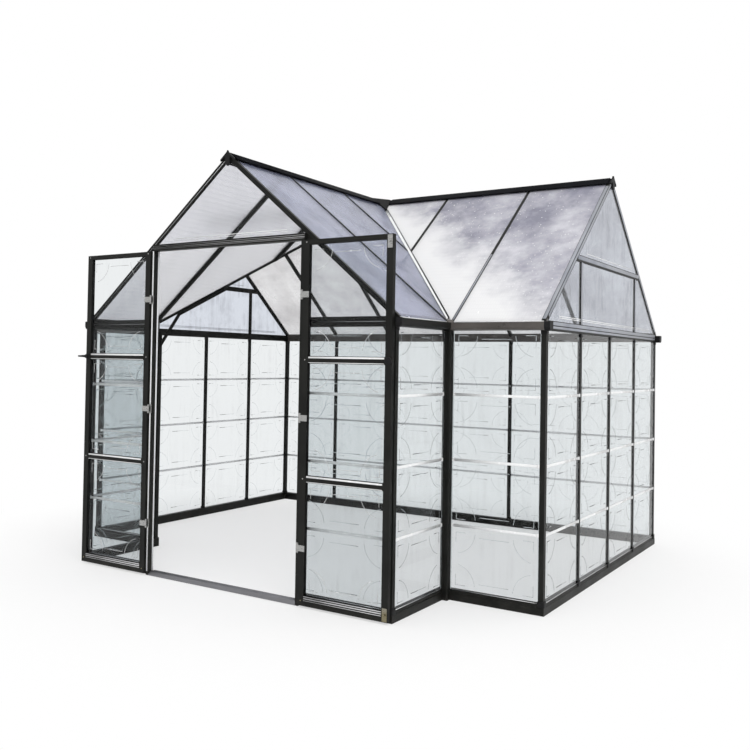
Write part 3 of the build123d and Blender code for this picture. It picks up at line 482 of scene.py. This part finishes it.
def domes(places, normals, radius, height, count=12, rows=5, share=0.9, sink=0.3):
    # Height over radius as a quarter ellipse turned about the normal, with a short straight foot.
    normals = unit(np.broadcast_to(normals, places.shape))
    helper = np.where(np.abs(normals[:, 2:]) < 0.9, [[0.0, 0.0, 1.0]], [[1.0, 0.0, 0.0]])
    east = unit(np.cross(helper, normals))
    north = np.cross(normals, east)
    t = np.linspace(0.0, np.pi / 2 * share, rows)
    out = np.concatenate([[radius], radius * np.cos(t)])
    rise = np.concatenate([[-sink * height], height * np.sin(t)])
    angle = np.arange(count) * 2 * np.pi / count
    ring = east[:, None] * np.cos(angle)[:, None] + north[:, None] * np.sin(angle)[:, None]
    return (places[:, None, None] + ring[:, None] * out[:, None, None]
            + normals[:, None, None] * rise[:, None, None])


def carried(paths, normals, section):
    # A section (side, out) carried along paths[k, i]; out is the normal, side is square to it and the way.
    paths = np.asarray(paths, float)
    ways = unit(np.gradient(paths, axis=1))
    normals = unit(np.broadcast_to(np.asarray(normals, float)[:, None], paths.shape))
    sides = np.cross(ways, normals)
    return (paths[:, :, None] + sides[:, :, None] * section[:, :1]
            + normals[:, :, None] * section[:, 1:])


def addLines(name, lines, finish, body="greenhouse", sink=0.0003, count=5):
    # Each line is (start, end, out, width, height): a half oval carried straight from start to end.
    for index, size in enumerate(sorted({line[3:] for line in lines})):
        chosen = [line for line in lines if line[3:] == size]
        paths, outs = [line[:2] for line in chosen], [line[2] for line in chosen]
        grid = carried(paths, outs, beadSection(size[0], size[1], sink, count))
        addShells(name + str(index), grid, finish, body)


# Where the walls are, read from the CAD

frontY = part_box("entry_corner_posts")[0].y
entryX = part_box("entry_corner_posts")[1].x
low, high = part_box("corner_posts")
sideX, returnY, backY = high.x, low.y, high.y
baseTop, beamBottom = low.z, high.z
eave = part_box("side_gable_sills")[1].z
junctionY = returnY + entryX
low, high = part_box("door_posts")
doorEdge, postFace, postBack = high.x, low.y, high.y
headerLow, headerHigh = (corner.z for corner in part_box("door_header"))
sideTieLow, sideTieHigh = (corner.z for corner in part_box("side_gable_ties"))
bay = entryX / 2
sideStuds = junctionY + bay * np.array([-1.0, 0.0, 1.0])
backStuds = bay * np.arange(-2.0, 3.0)
upright = np.array([0.0, 0.0, 1.0])
front = (0.0, -1.0, 0.0)

wallSizes = {"post": 0.030, "stud": 0.028, "cover": 0.040, "paneBack": 0.0032, "paneDeep": 0.0036,
             "slotBite": 0.0085, "parts": 4}


def wallBays(s):
    # Each clear bay as (start, end), with the outside on the right of the way.
    half, inset = s["stud"] / 2, s["post"]
    lows = np.concatenate([[returnY + inset], sideStuds + half])
    highs = np.concatenate([sideStuds - half, [backY - inset]])
    right = [((sideX, a), (sideX, b)) for a, b in zip(lows, highs)]
    left = [((-sideX, b), (-sideX, a)) for a, b in zip(lows, highs)]
    lows = np.concatenate([[-sideX + inset], backStuds + half])
    highs = np.concatenate([backStuds - half, [sideX - inset]])
    back = [((b, backY), (a, backY)) for a, b in zip(lows, highs)]
    inner, turn = entryX + s["cover"], returnY - s["cover"]
    returns = [((inner, returnY), (sideX - inset, returnY)), ((-sideX + inset, returnY), (-inner, returnY))]
    sides = [((entryX, frontY + inset), (entryX, turn)), ((-entryX, turn), (-entryX, frontY + inset))]
    fronts = [((doorEdge, frontY), (entryX - inset, frontY)), ((-entryX + inset, frontY), (-doorEdge, frontY))]
    ends = np.array(right + left + back + returns + sides + fronts)
    start, end = (points(*ends[:, k].T, 0.0) for k in (0, 1))
    way = unit(end - start)
    return start, way, np.cross(way, upright), np.linalg.norm(end - start, axis=-1)


bayStart, bayWay, bayOut, bayWide = wallBays(wallSizes)
paneLow = baseTop - wallSizes["slotBite"]
paneStep = (beamBottom + wallSizes["slotBite"] - paneLow) / wallSizes["parts"]
jointZ = paneLow + paneStep * np.arange(1, wallSizes["parts"])
print("wall bays:", len(bayWide))


def bayEnds(inset):
    # Two points on the foot line of each bay, equally far in from its ends.
    ends = points(inset, bayWide - inset)
    return bayStart[:, None] + bayWay[:, None] * ends[:, :, None]


# Strips between stacked panes, inside and outside, the clips that hold their ends, and edge beads

jointSizes = {"height": 0.0155, "proud": 0.0018, "sink": 0.0018, "stand": 0.0016, "endGap": 0.004,
              "clip": (0.012, 0.0055, 0.02), "clipIn": 0.001, "edgeBead": (0.0036, 0.0022), "edgeSink": 0.0004}


def addJoints(s):
    section = beadSection(s["height"], s["proud"], s["sink"])
    line = bayEnds(s["endGap"])[:, None] + jointZ[:, None, None] * upright
    outer = wallSizes["paneBack"] - s["stand"]
    inner = wallSizes["paneBack"] + wallSizes["paneDeep"] + s["stand"]
    # the strips' milky white: partly the plastic's own, partly a painted highlight along each joint
    for name, back, sign in (("jointStripsOutside", outer, 1.0), ("jointStripsInside", inner, -1.0)):
        paths = (line - back * bayOut[:, None, None]).reshape(-1, 2, 3)
        normals = np.repeat(sign * bayOut, len(jointZ), axis=0)
        addShells(name, carried(paths, normals, section), paleJointAndHighlightPlastic)
    clips = bayEnds(s["clip"][0] / 2) - s["clipIn"] * bayOut[:, None]
    clips = (clips[:, None] + jointZ[:, None, None] * upright).reshape(-1, 3)
    ways = np.repeat(bayWay, 2 * len(jointZ), axis=0)
    addShells("paneClips", softBlocks(clips, ways, upright, s["clip"]), paleJointAndHighlightPlastic)
    # a thin clear bead up both edges of every bay
    width, height = s["edgeBead"]
    foot = bayEnds(width / 2) - wallSizes["paneBack"] * bayOut[:, None]
    paths = np.stack([foot + baseTop * upright, foot + beamBottom * upright], 2).reshape(-1, 2, 3)
    grid = carried(paths, np.repeat(bayOut, 2, axis=0), beadSection(width, height, s["edgeSink"]))
    addShells("paneEdgeBeads", grid, wallPane)


addJoints(jointSizes)
print("pane joints added")


# Raised plaque lines in the panes: an arc round each corner, a bar along the top and foot, short lines in the corners

plaqueSizes = {"inset": 0.02, "arc": 0.130, "bar": 0.34, "barInset": 0.030, "corner": 0.060, "cornerInset": 0.010,
               "width": 0.0030, "height": 0.0010, "sink": 0.0003, "roundPoints": 5, "points": 16,
               "sweep": (0.10, 1.36), "wallJoint": 0.016}


def plaqueLines(wide, tall, s):
    # Arcs: centre on a corner of the inset oblong, radius times cosine and sine over a quarter turn inwards.
    # Bars: straight, over a share of the width, level with the inset edge.
    sx, sz = np.array([1.0, -1.0, -1.0, 1.0]), np.array([1.0, 1.0, -1.0, -1.0])
    t = np.linspace(s["sweep"][0], s["sweep"][1], s["points"])
    cx = sx * (wide[:, None] / 2 - s["inset"])
    cz = sz * (tall[:, None] / 2 - s["inset"])
    arcs = points(cx[..., None] - sx[:, None] * s["arc"] * np.cos(t),
                  cz[..., None] - sz[:, None] * s["arc"] * np.sin(t))
    half = s["bar"] / 2 * wide
    level = (tall[:, None] / 2 - s["inset"] - s["barInset"]) * [1.0, -1.0]
    bars = points(half[:, None, None] * np.array([-1.0, 1.0]), level[:, :, None])
    cx = sx * (wide[:, None] / 2 - s["inset"] - s["cornerInset"])
    cz = sz * (tall[:, None] / 2 - s["inset"] - s["cornerInset"])
    reach = np.array([0.0, s["corner"]])
    flat = points(cx[..., None] - sx[:, None] * reach, cz[..., None])
    plumb = points(cx[..., None], cz[..., None] - sz[:, None] * reach)
    return arcs, np.concatenate([bars, flat, plumb], 1)


def addPlaques(name, middles, ways, outs, wide, tall, body, finish, s):
    section = beadSection(s["width"], s["height"], s["sink"], s["roundPoints"])
    for part, lines in zip(("Arcs", "Bars"), plaqueLines(wide, tall, s)):
        paths = middles[:, None, None] + lines[..., :1] * ways[:, None, None] + lines[..., 1:] * upright
        normals = np.repeat(outs, lines.shape[1], axis=0)
        grid = carried(paths.reshape(-1, lines.shape[2], 3), normals, section)
        addShells(name + part, grid, finish, body)


def addWallPlaques(s):
    several = wallSizes["parts"]
    cells = paneLow + paneStep * (np.arange(several) + 0.5)
    middles = bayStart + bayWay * bayWide[:, None] / 2 - wallSizes["paneBack"] * bayOut
    middles = (middles[:, None] + cells[:, None] * upright).reshape(-1, 3)
    ways, outs, wide = (np.repeat(each, several, 0) for each in (bayWay, bayOut, bayWide))
    tall = 0 * wide + paneStep - s["wallJoint"]
    addPlaques("wallPlaque", middles, ways, outs, wide, tall, "greenhouse", wallPane, s)


doorSizes = {"stile": 0.040, "topRail": 0.026, "middleRail": 0.036, "bottomRail": 0.056, "panes": 3}


def doorFacts(name, s):
    # A leaf's two corners, the foot of each of its panes and a pane's height.
    low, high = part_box(name + "_door_frame")
    glassLow, glassHigh = low.z + s["bottomRail"], high.z - s["topRail"]
    step = (glassHigh - glassLow + s["middleRail"]) / s["panes"]
    foot = glassLow + step * np.arange(s["panes"])
    return low, high, foot, step - s["middleRail"]


def addDoorPlaques(name, s):
    low, high, foot, tall = doorFacts(name, doorSizes)
    middle = (low.y + high.y) / 2 - wallSizes["paneDeep"] / 2
    spots = points((low.x + high.x) / 2, middle, foot + tall / 2)
    wide = 0 * foot + high.x - low.x - 2 * doorSizes["stile"]
    ways, outs = np.broadcast_to([1.0, 0.0, 0.0], spots.shape), np.broadcast_to(front, spots.shape)
    # the door reliefs are real raised lines, painted pale as glints
    addPlaques(name + "DoorPlaque", spots, ways, outs, wide, 0 * foot + tall, name + "_door", reliefAndGlintPlastic, s)


addWallPlaques(plaqueSizes)
for side in ("left", "right"):
    addDoorPlaques(side, plaqueSizes)
print("plaque lines added")


# Gaskets round the door panes and screws in the door frames

trimSizes = {"gasket": (0.003, 0.003), "sink": 0.0003, "screw": (0.0042, 0.0022)}


def addDoorTrim(name, s):
    low, high, foot, tall = doorFacts(name, doorSizes)
    stile = doorSizes["stile"]
    left, right = low.x + stile, high.x - stile
    middle = (low.y + high.y) / 2
    width, height = s["gasket"]
    inset = width / 2
    paths, normals = [], []
    for face in (-1.0, 1.0):
        y = middle + face * wallSizes["paneDeep"] / 2
        for z in foot:
            top = z + tall
            paths += [[(left, y, z + inset), (right, y, z + inset)], [(left, y, top - inset), (right, y, top - inset)],
                      [(left + inset, y, z), (left + inset, y, top)], [(right - inset, y, z), (right - inset, y, top)]]
            normals += [(0.0, face, 0.0)] * 4
    grid = carried(paths, normals, beadSection(width, height, s["sink"]))
    addShells(name + "DoorGaskets", grid, capPlastic, name + "_door")
    # a screw in each stile at every rail, on the face that shows when the leaf is open, but none under the
    # left leaf's handle and none in the right leaf's free stile
    rails = np.concatenate([[low.z + doorSizes["bottomRail"] / 2], foot[1:] - doorSizes["middleRail"] / 2,
                            [high.z - doorSizes["topRail"] / 2]])
    xs = np.array([low.x + stile / 2, high.x - stile / 2])
    spots = points(xs[:, None], low.y, rails[None]).reshape(-1, 3)
    free = low.x if name == "left" else high.x
    covered = np.abs(spots[:, 0] - free) < stile
    if name == "left":
        covered &= spots[:, 2] == rails[2]
    screws = domes(spots[~covered], front, *s["screw"])
    addShells(name + "DoorScrews", screws, hingeSteel, name + "_door")


hingeSizes = {"shares": (0.155, 0.51, 0.85), "plateScrews": (0.010, 0.030), "postIn": 0.012,
              "postSpread": (-0.018, 0.018), "seat": 0.002, "screw": (0.0038, 0.0016)}


def addHingeScrews(s):
    low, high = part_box("left_door_frame")
    heights = low.z + (high.z - low.z) * np.array(s["shares"])

    def addScrews(name, xs, y, zs, body):
        spots = points(xs[:, None], y, zs[None]).reshape(-1, 3)
        addShells(name, domes(spots, front, *s["screw"]), hingeSteel, body)

    for name, sign in (("left", -1.0), ("right", 1.0)):
        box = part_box(name + "_door_hinges")
        plateX = sign * (max(abs(box[0].x), abs(box[1].x)) - np.array(s["plateScrews"]))
        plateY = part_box(name + "_door_frame")[0].y - s["seat"]
        addScrews(name + "HingeScrews", plateX, plateY, heights, name + "_door")
    postX = np.array([-1.0, 1.0]) * (doorEdge - s["postIn"])
    postZ = (heights[:, None] + np.array(s["postSpread"])).ravel()
    addScrews("postHingeScrews", postX, postFace - s["seat"], postZ, "greenhouse")


for side in ("left", "right"):
    addDoorTrim(side, trimSizes)
addHingeScrews(hingeSizes)
print("door trim added")


# Black feet and heads of the posts and studs

footSizes = {"foot": (0.038, 0.012, 0.036), "footZ": baseTop - 0.004, "footIn": 0.0005,
             "head": (0.034, 0.010, 0.024), "headZ": beamBottom - 0.008, "headIn": 0.002}


def addFeet(s):
    # Each place is (x, y) and the way out of the wall there.
    inset = wallSizes["post"] / 2
    sideYs = np.concatenate([sideStuds, [returnY + inset, backY - inset]])
    places = [(x, y, np.sign(x), 0.0) for x in (sideX, -sideX) for y in sideYs]
    places += [(x, backY, 0.0, 1.0) for x in backStuds]
    for x in (sideX - inset, -sideX + inset):
        places += [(x, returnY, 0.0, -1.0), (x, backY, 0.0, 1.0)]
    for x in (entryX, -entryX):
        places += [(x, frontY + inset, np.sign(x), 0.0), (x - np.sign(x) * inset, frontY, 0.0, -1.0)]
    x, y, outX, outY = np.array(places).T
    spots, outs = points(x, y, 0.0), points(outX, outY, 0.0)
    ways = np.cross(upright, outs)
    for name, kind in (("postFeet", "foot"), ("postHeads", "head")):
        middles = spots - s[kind + "In"] * outs + s[kind + "Z"] * upright
        addShells(name, softBlocks(middles, ways, upright, s[kind]), capPlastic)


addFeet(footSizes)
print("post feet and heads added")


# Grooved covers on the two inner corners of the walls

coverSizes = {"wide": 0.040, "points": 5, "round": 0.006, "groove": 0.006, "deep": 0.003, "low": 0.001}


def addValleyCovers(s):
    # Plan of a square post with one rounded corner and a groove in each outer face, carried straight up.
    w, r, g, d = s["wide"], s["round"], s["groove"] / 2, s["deep"]
    half = w / 2
    turn = np.linspace(0.0, np.pi / 2, s["points"])
    corner = points(w - r + r * np.cos(turn), -(w - r) - r * np.sin(turn))
    before = [(0.0, 0.0), (w, 0.0), (w, -half + g), (w - d, -half + g), (w - d, -half - g), (w, -half - g)]
    after = [(half + g, -w), (half + g, -w + d), (half - g, -w + d), (half - g, -w), (0.0, -w)]
    plan = np.concatenate([before, corner, after])
    levels = np.array([s["low"], beamBottom])
    right = points(entryX + plan[:, 0], returnY + plan[:, 1], levels[:, None])
    addShells("valleyCovers", mirrored(right), frameMetal, smooth=False)


addValleyCovers(coverSizes)
print("valley covers added")


# White trays in the two valleys with a dark bead on the main side

ridgeProud = 0.0174   # the ridge's top over the line where the slopes would meet
riseOver = (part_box("main_ridge")[1].z - ridgeProud - eave) / entryX
lean = np.arctan(riseOver)
crest = eave + riseOver * entryX
valleyAcross = np.array([1.0, 1.0, 0.0]) / np.sqrt(2)
traySizes = {"half": 0.0115, "lift": 0.003, "sheet": 0.0012, "rows": 12, "span": (0.012, 0.915), "footShare": 0.5,
             "fullAt": 0.8, "points": 9, "edgePower": 6, "beadPoints": 8, "bead": 0.006,
             "beadAt": 0.0155, "beadUp": 0.004}


def addValleyTrays(s):
    # Across the valley: height is slope times distance over root two, plus a turned-up edge.
    d = np.linspace(-1.0, 1.0, s["points"]) * s["half"]
    top = riseOver * np.abs(d) / np.sqrt(2) + s["lift"] * (np.abs(d) / s["half"]) ** s["edgePower"] + s["sheet"]
    tray = sheetSection(d, top, s["sheet"])
    bead = ovalSection(s["bead"], s["bead"], s["beadPoints"], 1.0)
    bead = bead + [s["beadAt"], riseOver * s["beadAt"] / np.sqrt(2) + s["beadUp"]]
    share = np.linspace(s["span"][0], s["span"][1], s["rows"])
    line = points(entryX * (1 - share), returnY + entryX * share, eave + riseOver * entryX * share)
    taper = np.interp(share, [0.0, s["fullAt"]], [s["footShare"], 1.0])
    for name, section, finish, slot, narrow in (("valleyTrays", tray, paleJointAndHighlightPlastic, "bare_aluminium", taper),
                                                ("valleyBeads", bead, frameMetal, "frame_metal", 0 * taper + 1)):
        sideways = valleyAcross * section[:, :1] * narrow[:, None, None]
        right = line[:, None] + sideways + upright * section[:, 1:]
        addShells(name, mirrored(right), finish)


addValleyTrays(traySizes)


# Valley sheets with a stiffener near the foot, and a knee brace from each inner post up to it

valleySizes = {"flange": 0.030, "sheet": 0.003, "ribHalf": 0.007, "ribDeep": 0.005, "seat": 0.0002,
               "span": (0.0135, 0.969), "rows": 12, "stiffSpan": (0.088, 0.290), "stiffHalf": 0.010, "stiffLow": 0.023,
               "stiffTop": 0.001, "chamfer": 0.003, "braceFoot": (0.015, -0.165), "braceHead": 0.122,
               "braceDeep": 0.024, "braceWide": 0.014, "bracePoints": 12, "bracePower": 0.3, "braceEnd": 0.004}


def addValleys(s):
    # Section of two flanges that rise with the roofs and a shallow rib, carried up the line where the roofs meet.
    climb = entryX * np.array([-1.0, 1.0, riseOver])
    foot = np.array([entryX, returnY, eave])
    up = np.cross(valleyAcross, unit(climb))
    tilt = np.sin(lean) / np.sqrt(2)
    flat = np.sqrt(1 - tilt ** 2)

    def run(section, span, rows):
        line = foot + climb * np.linspace(span[0], span[1], rows)[:, None] - s["seat"] * up
        return mirrored(line[:, None] + valleyAcross * section[:, :1] + up * section[:, 1:])

    tip = s["flange"] * np.array([flat, tilt])
    half = np.array([tip, tip + s["sheet"] * np.array([tilt, -flat]),
                     (s["ribHalf"], (s["ribHalf"] * tilt - s["sheet"]) / flat), (s["ribHalf"], -s["ribDeep"])])
    sheet = np.concatenate([[(0.0, 0.0)], half, half[::-1] * [-1.0, 1.0]])
    piece = addShells("valleySheets", run(sheet, s["span"], s["rows"]), frameMetal, smooth=False)
    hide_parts("valley_rafters")
    w, top, low, cut = s["stiffHalf"], -s["stiffTop"], -s["stiffLow"], s["chamfer"]
    bar = np.array([(-w, top), (w, top), (w, low + cut), (w - cut, low), (-w + cut, low), (-w, low + cut)])
    addShells("valleyStiffeners", run(bar, s["stiffSpan"], 2), frameMetal, smooth=False)
    # The brace is a straight bar whose upper end is cut along the underside of the valley.
    inward, down = s["braceFoot"]
    start = foot + [-inward, inward, down]
    way = unit(foot + climb * s["braceHead"] / entryX - start)
    outline = ovalSection(s["braceWide"], s["braceDeep"], s["bracePoints"], s["bracePower"])
    first = start + valleyAcross * outline[:, :1] + np.cross(valleyAcross, way) * outline[:, 1:]
    reach = ((foot - s["braceEnd"] * up - first) @ up) / (way @ up)
    right = np.stack([first, first + way * reach[:, None]])
    piece = addShells("kneeBraces", mirrored(right), frameMetal, smooth=False)
    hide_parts("valley_braces")


addValleys(valleySizes)
print("valleys added")


# Painted highlights: pale lines in the grooves of the front, along the base ledge, down the door posts and along the
# eaves, with a pale seal down the left door post

grooveSizes = {"height": 0.0012, "in": 0.002, "rafter": 0.0036, "down": 0.005, "peakGap": 0.022, "endGap": 0.032,
               "sill": 0.0026, "doorGap": 0.001,
               "header": ((0.30, 0.0016, 0.0), (0.5, 0.0030, 0.002), (0.74, 0.0016, 0.0))}   # share up, width, way in


def grooveHighlights(s):
    # painted highlights along the grooves of the front rafter, sills and header
    face, start, end = frontY + s["in"], s["peakGap"], entryX - s["endGap"]
    zs = crest - s["down"] / np.cos(lean) - riseOver * np.array([start, end])
    lines = [((-start, face, zs[0]), (-end, face, zs[1]), front, s["rafter"], s["height"])]
    z = (beamBottom + eave) / 2
    near = doorEdge + s["doorGap"]
    for side in (-1.0, 1.0):
        lines.append(((side * near, face, z), (side * end, face, z), front, s["sill"], s["height"]))
    for share, width, deep in s["header"]:
        y, z = postFace + deep, headerLow + share * (headerHigh - headerLow)
        lines.append(((-doorEdge, y, z), (doorEdge, y, z), front, width, s["height"]))
    return lines


ledgeSizes = {"in": 0.002, "line": (0.005, 0.0022)}


def baseHighlights(s):
    # a painted highlight along the top of the base ledge in each bay
    feet = bayStart - s["in"] * bayOut + baseTop * upright
    return [(tuple(foot), tuple(foot + way * wide), tuple(upright)) + s["line"]
            for foot, way, wide in zip(feet, bayWay, bayWide)]


postSizes = {"wide": 0.020, "foot": 0.024, "headGap": 0.001, "strip": (0.0120, 0.0012), "stripIn": 0.0062,
             "seal": (0.0110, 0.0012), "sealIn": 0.0061}


def postHighlightsAndSeal(s):
    # Painted highlights down the inner faces of the door posts, and a pale seal down the front of the left one
    foot, head = s["foot"], headerLow - s["headGap"]
    x, y, seal = doorEdge - s["wide"], postBack - s["stripIn"], s["sealIn"] - doorEdge
    lines = [((side * x, y, foot), (side * x, y, head), (-side, 0.0, 0.0)) + s["strip"] for side in (-1.0, 1.0)]
    return lines + [((seal, postFace, foot), (seal, postFace, head), front) + s["seal"]]


eaveSizes = {"up": 0.0042, "frontGap": 0.004, "cornerGap": 0.022, "sideGap": 0.014, "line": (0.0076, 0.0014)}


def eaveHighlights(s):
    # Painted highlights along the lower edge of each roof slope
    low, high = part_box("entry_roof_panes")
    edge, z = high.x, low.z + s["up"]
    ahead, behind, end = returnY - (edge - entryX), backY + edge - entryX, sideX - s["sideGap"]
    lines = []
    for side in (-1.0, 1.0):
        x, turn = side * edge, side * (entryX + s["cornerGap"])
        lines.append(((x, low.y + s["frontGap"], z), (x, returnY - s["cornerGap"], z), (side, 0.0, 0.0)) + s["line"])
        lines.append(((turn, ahead, z), (side * end, ahead, z), front) + s["line"])
    lines.append(((-end, behind, z), (end, behind, z), (0.0, 1.0, 0.0)) + s["line"])
    return lines


for name, lines, finish in (("grooveHighlights", grooveHighlights(grooveSizes), highlightAluminium),
                            ("baseHighlights", baseHighlights(ledgeSizes), highlightAluminium),
                            ("postHighlightsAndSeal", postHighlightsAndSeal(postSizes), paleJointAndHighlightPlastic),
                            ("eaveHighlights", eaveHighlights(eaveSizes), paleJointAndHighlightPlastic)):
    addLines(name, lines, finish)


# Soft blocks where the gutters meet at the two inner corners

cornerSizes = {"out": 0.0205, "down": 0.003, "block": (0.044, 0.050, 0.066), "points": 16, "power": 0.6, "bevel": 0.3}


def addGutterCorners(s):
    low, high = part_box("entry_gutters")
    z = (low.z + high.z) / 2 - s["down"]
    spots = np.array([(side * (entryX + s["out"]), returnY - s["out"], z) for side in (-1.0, 1.0)])
    ways = unit([(1.0, -1.0, 0.0), (-1.0, -1.0, 0.0)])
    blocks = softBlocks(spots, ways, upright, s["block"], s["points"], s["power"], s["bevel"])
    addShells("gutterCorners", blocks, gutterMetal)


addGutterCorners(cornerSizes)


# Painted highlights on the doors: in the foot rail, and along the top and foot of each middle rail

doorHighlightSizes = {"foot": ((0.0525, 0.005), (0.0415, 0.0065), (0.0305, 0.0035)), "railTop": (-0.0052, 0.0095),
                 "railFoot": (0.0022, 0.0035), "inset": 0.006, "height": 0.0012}


def addDoorHighlights(name, s):
    low, high, foot = doorFacts(name, doorSizes)[:3]
    left, right, inset = low.x + doorSizes["stile"], high.x - doorSizes["stile"], s["inset"]
    under = (s["railFoot"][0] - doorSizes["middleRail"], s["railFoot"][1])
    lines, edgeHighlights = [], []
    for face, y in ((-1.0, low.y), (1.0, high.y)):
        out = (0.0, face, 0.0)
        for up, width in s["foot"]:
            z = low.z + up
            lines.append(((left, y, z), (right, y, z), out, width, s["height"]))
        for up, width in (s["railTop"], under):
            edgeHighlights += [((left + inset, y, z), (right - inset, y, z), out, width, s["height"]) for z in foot[1:] + up]
    addLines(name + "DoorHighlights", lines, highlightAluminium, name + "_door")
    addLines(name + "DoorEdgeHighlights", edgeHighlights, paleJointAndHighlightPlastic, name + "_door")


for side in ("left", "right"):
    addDoorHighlights(side, doorHighlightSizes)
print("pale lines added")


# Painted sky reflection: light strips on the outside of the side gables and on top of the front and back roof bars

stripSizes = {"rafter": (0.019, 0.0016), "rafterDown": 0.004, "peakGap": 0.030, "endGap": 0.034,
              "tie": (0.024, 0.0016), "tieDown": 0.016, "tieUnder": 0.026,
              "sillHigh": (0.020, 0.0016), "sillDown": 0.014, "sillLow": (0.014, 0.0016), "sillUp": 0.020,
              "stud": (0.026, 0.0014), "studGap": 0.001, "bar": (0.009, 0.0012), "barX": 1.221, "barShare": 0.45,
              "edge": (0.020, 0.0012), "edgeIn": 0.012, "edgeGap": 0.062, "barLift": 0.010}


def gableReflectionStrips(s):
    lines = []
    reach = np.array([s["peakGap"], entryX - s["endGap"]])
    slope = crest - s["rafterDown"] / np.cos(lean) - riseOver * reach
    tie = sideTieHigh - s["tieDown"]
    half = (crest - s["tieUnder"] - tie) / riseOver
    sill = (junctionY - entryX + s["endGap"], junctionY + entryX - s["endGap"])
    for side in (-1.0, 1.0):
        runs = [(junctionY + along * reach, slope, s["rafter"]) for along in (-1.0, 1.0)]
        runs.append(((junctionY - half, junctionY + half), (tie, tie), s["tie"]))
        for z, size in ((eave - s["sillDown"], s["sillHigh"]), (beamBottom + s["sillUp"], s["sillLow"])):
            runs.append((sill, (z, z), size))
        for y in (junctionY - bay, junctionY + bay):
            runs.append(((y, y), (eave + s["studGap"], sideTieLow - s["studGap"]), s["stud"]))
        x, out = side * sideX, (side, 0.0, 0.0)
        lines += [((x, ys[0], zs[0]), (x, ys[1], zs[1]), out) + size for ys, zs, size in runs]
    return lines


def barReflectionStrips(s):
    # Straight up a slope from its eave, lifted square to it
    runs = [(x, returnY, 1.0, s["barShare"] * entryX, s["bar"]) for x in (-s["barX"], s["barX"])]
    for x in (-sideX + s["edgeIn"], sideX - s["edgeIn"]):
        runs += [(x, edge, along, entryX - s["edgeGap"], s["edge"]) for edge, along in ((returnY, 1.0), (backY, -1.0))]
    lines = []
    for x, edge, along, length, size in runs:
        out = np.array([0.0, -np.sin(lean) * along, np.cos(lean)])
        run = np.array([0.0, length])
        ends = points(x, edge + along * run, eave + riseOver * run) + s["barLift"] * out
        lines.append((tuple(ends[0]), tuple(ends[1]), tuple(out)) + size)
    return lines


for name, lines in (("gableReflectionStrips", gableReflectionStrips(stripSizes)), ("barReflectionStrips", barReflectionStrips(stripSizes))):
    addLines(name, lines, paintedReflectionMetal)


# Covers along both ridges

ridgeSizes = {"half": 0.061, "points": 13, "lift": 0.005, "sheet": 0.005, "crown": 0.008,
              "capGap": 0.014, "capLap": 0.01}


def addRidgeCovers(s):
    # Across the ridge: height falls by the slope times the distance, with the crown rounded off as a root of a sum.
    d = np.linspace(-1.0, 1.0, s["points"]) * s["half"]
    top = s["lift"] - riseOver * (np.sqrt(d ** 2 + s["crown"] ** 2) - s["crown"])
    outline = sheetSection(d, top, s["sheet"])
    across, z = outline[:, 0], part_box("main_ridge")[1].z + outline[:, 1]
    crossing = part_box("ridge_crossing_cap")
    ends = np.array([crossing[1].x - s["capLap"], sideX - s["capGap"]])
    right = points(ends[:, None], junctionY + across, z)
    ends = np.array([frontY + s["capGap"], crossing[0].y + s["capLap"]])
    entry = points(across, ends[:, None], z)
    covers = np.concatenate([mirrored(right), entry[None]])
    addShells("ridgeCovers", covers, ridgeMetal)


addRidgeCovers(ridgeSizes)


# Raised bars along the foot of the gable panes, painted pale as glints

gableBarSizes = {"entry": ((0.020, 0.003), (0.032, 0.0045)), "entrySpan": (-0.43, 0.45), "width": 0.004,
                 "tie": (0.022, 0.50), "sill": ((0.022, 0.98), (0.032, 0.98)), "height": 0.0012}


def gableBars(s):
    # Entry bars are (way up, width); side bars are (way up, half length).
    y, (start, end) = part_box("entry_gable_panes")[0].y, s["entrySpan"]
    lines = []
    for up, width in s["entry"]:
        z = headerHigh + up
        lines.append(((start, y, z), (end, y, z), front, width, s["height"]))
    levels = [(sideTieHigh + s["tie"][0], s["tie"][1])] + [(eave + up, half) for up, half in s["sill"]]
    for side in (-1.0, 1.0):
        x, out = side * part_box("side_gable_panes")[1].x, (side, 0.0, 0.0)
        for z, half in levels:
            lines.append(((x, junctionY - half, z), (x, junctionY + half, z), out, s["width"], s["height"]))
    return lines


addLines("gableBars", gableBars(gableBarSizes), paleJointAndHighlightPlastic)
print("strips and gable bars added")


# Ribs on the threshold

ribSizes = {"count": 4, "frontIn": 0.02, "backIn": 0.008, "sideIn": 0.002, "rib": (0.004, 0.0014), "sink": 0.0004}


def addThresholdRibs(s):
    low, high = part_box("door_threshold")
    ys = np.linspace(low.y + s["frontIn"], high.y - s["backIn"], s["count"])
    ends = np.array([low.x + s["sideIn"], high.x - s["sideIn"]])
    paths = points(ends, ys[:, None], high.z)
    ribs = carried(paths, [upright], beadSection(*s["rib"], s["sink"]))
    addShells("thresholdRibs", ribs, thresholdMetal)


addThresholdRibs(ribSizes)
print("threshold ribs added")
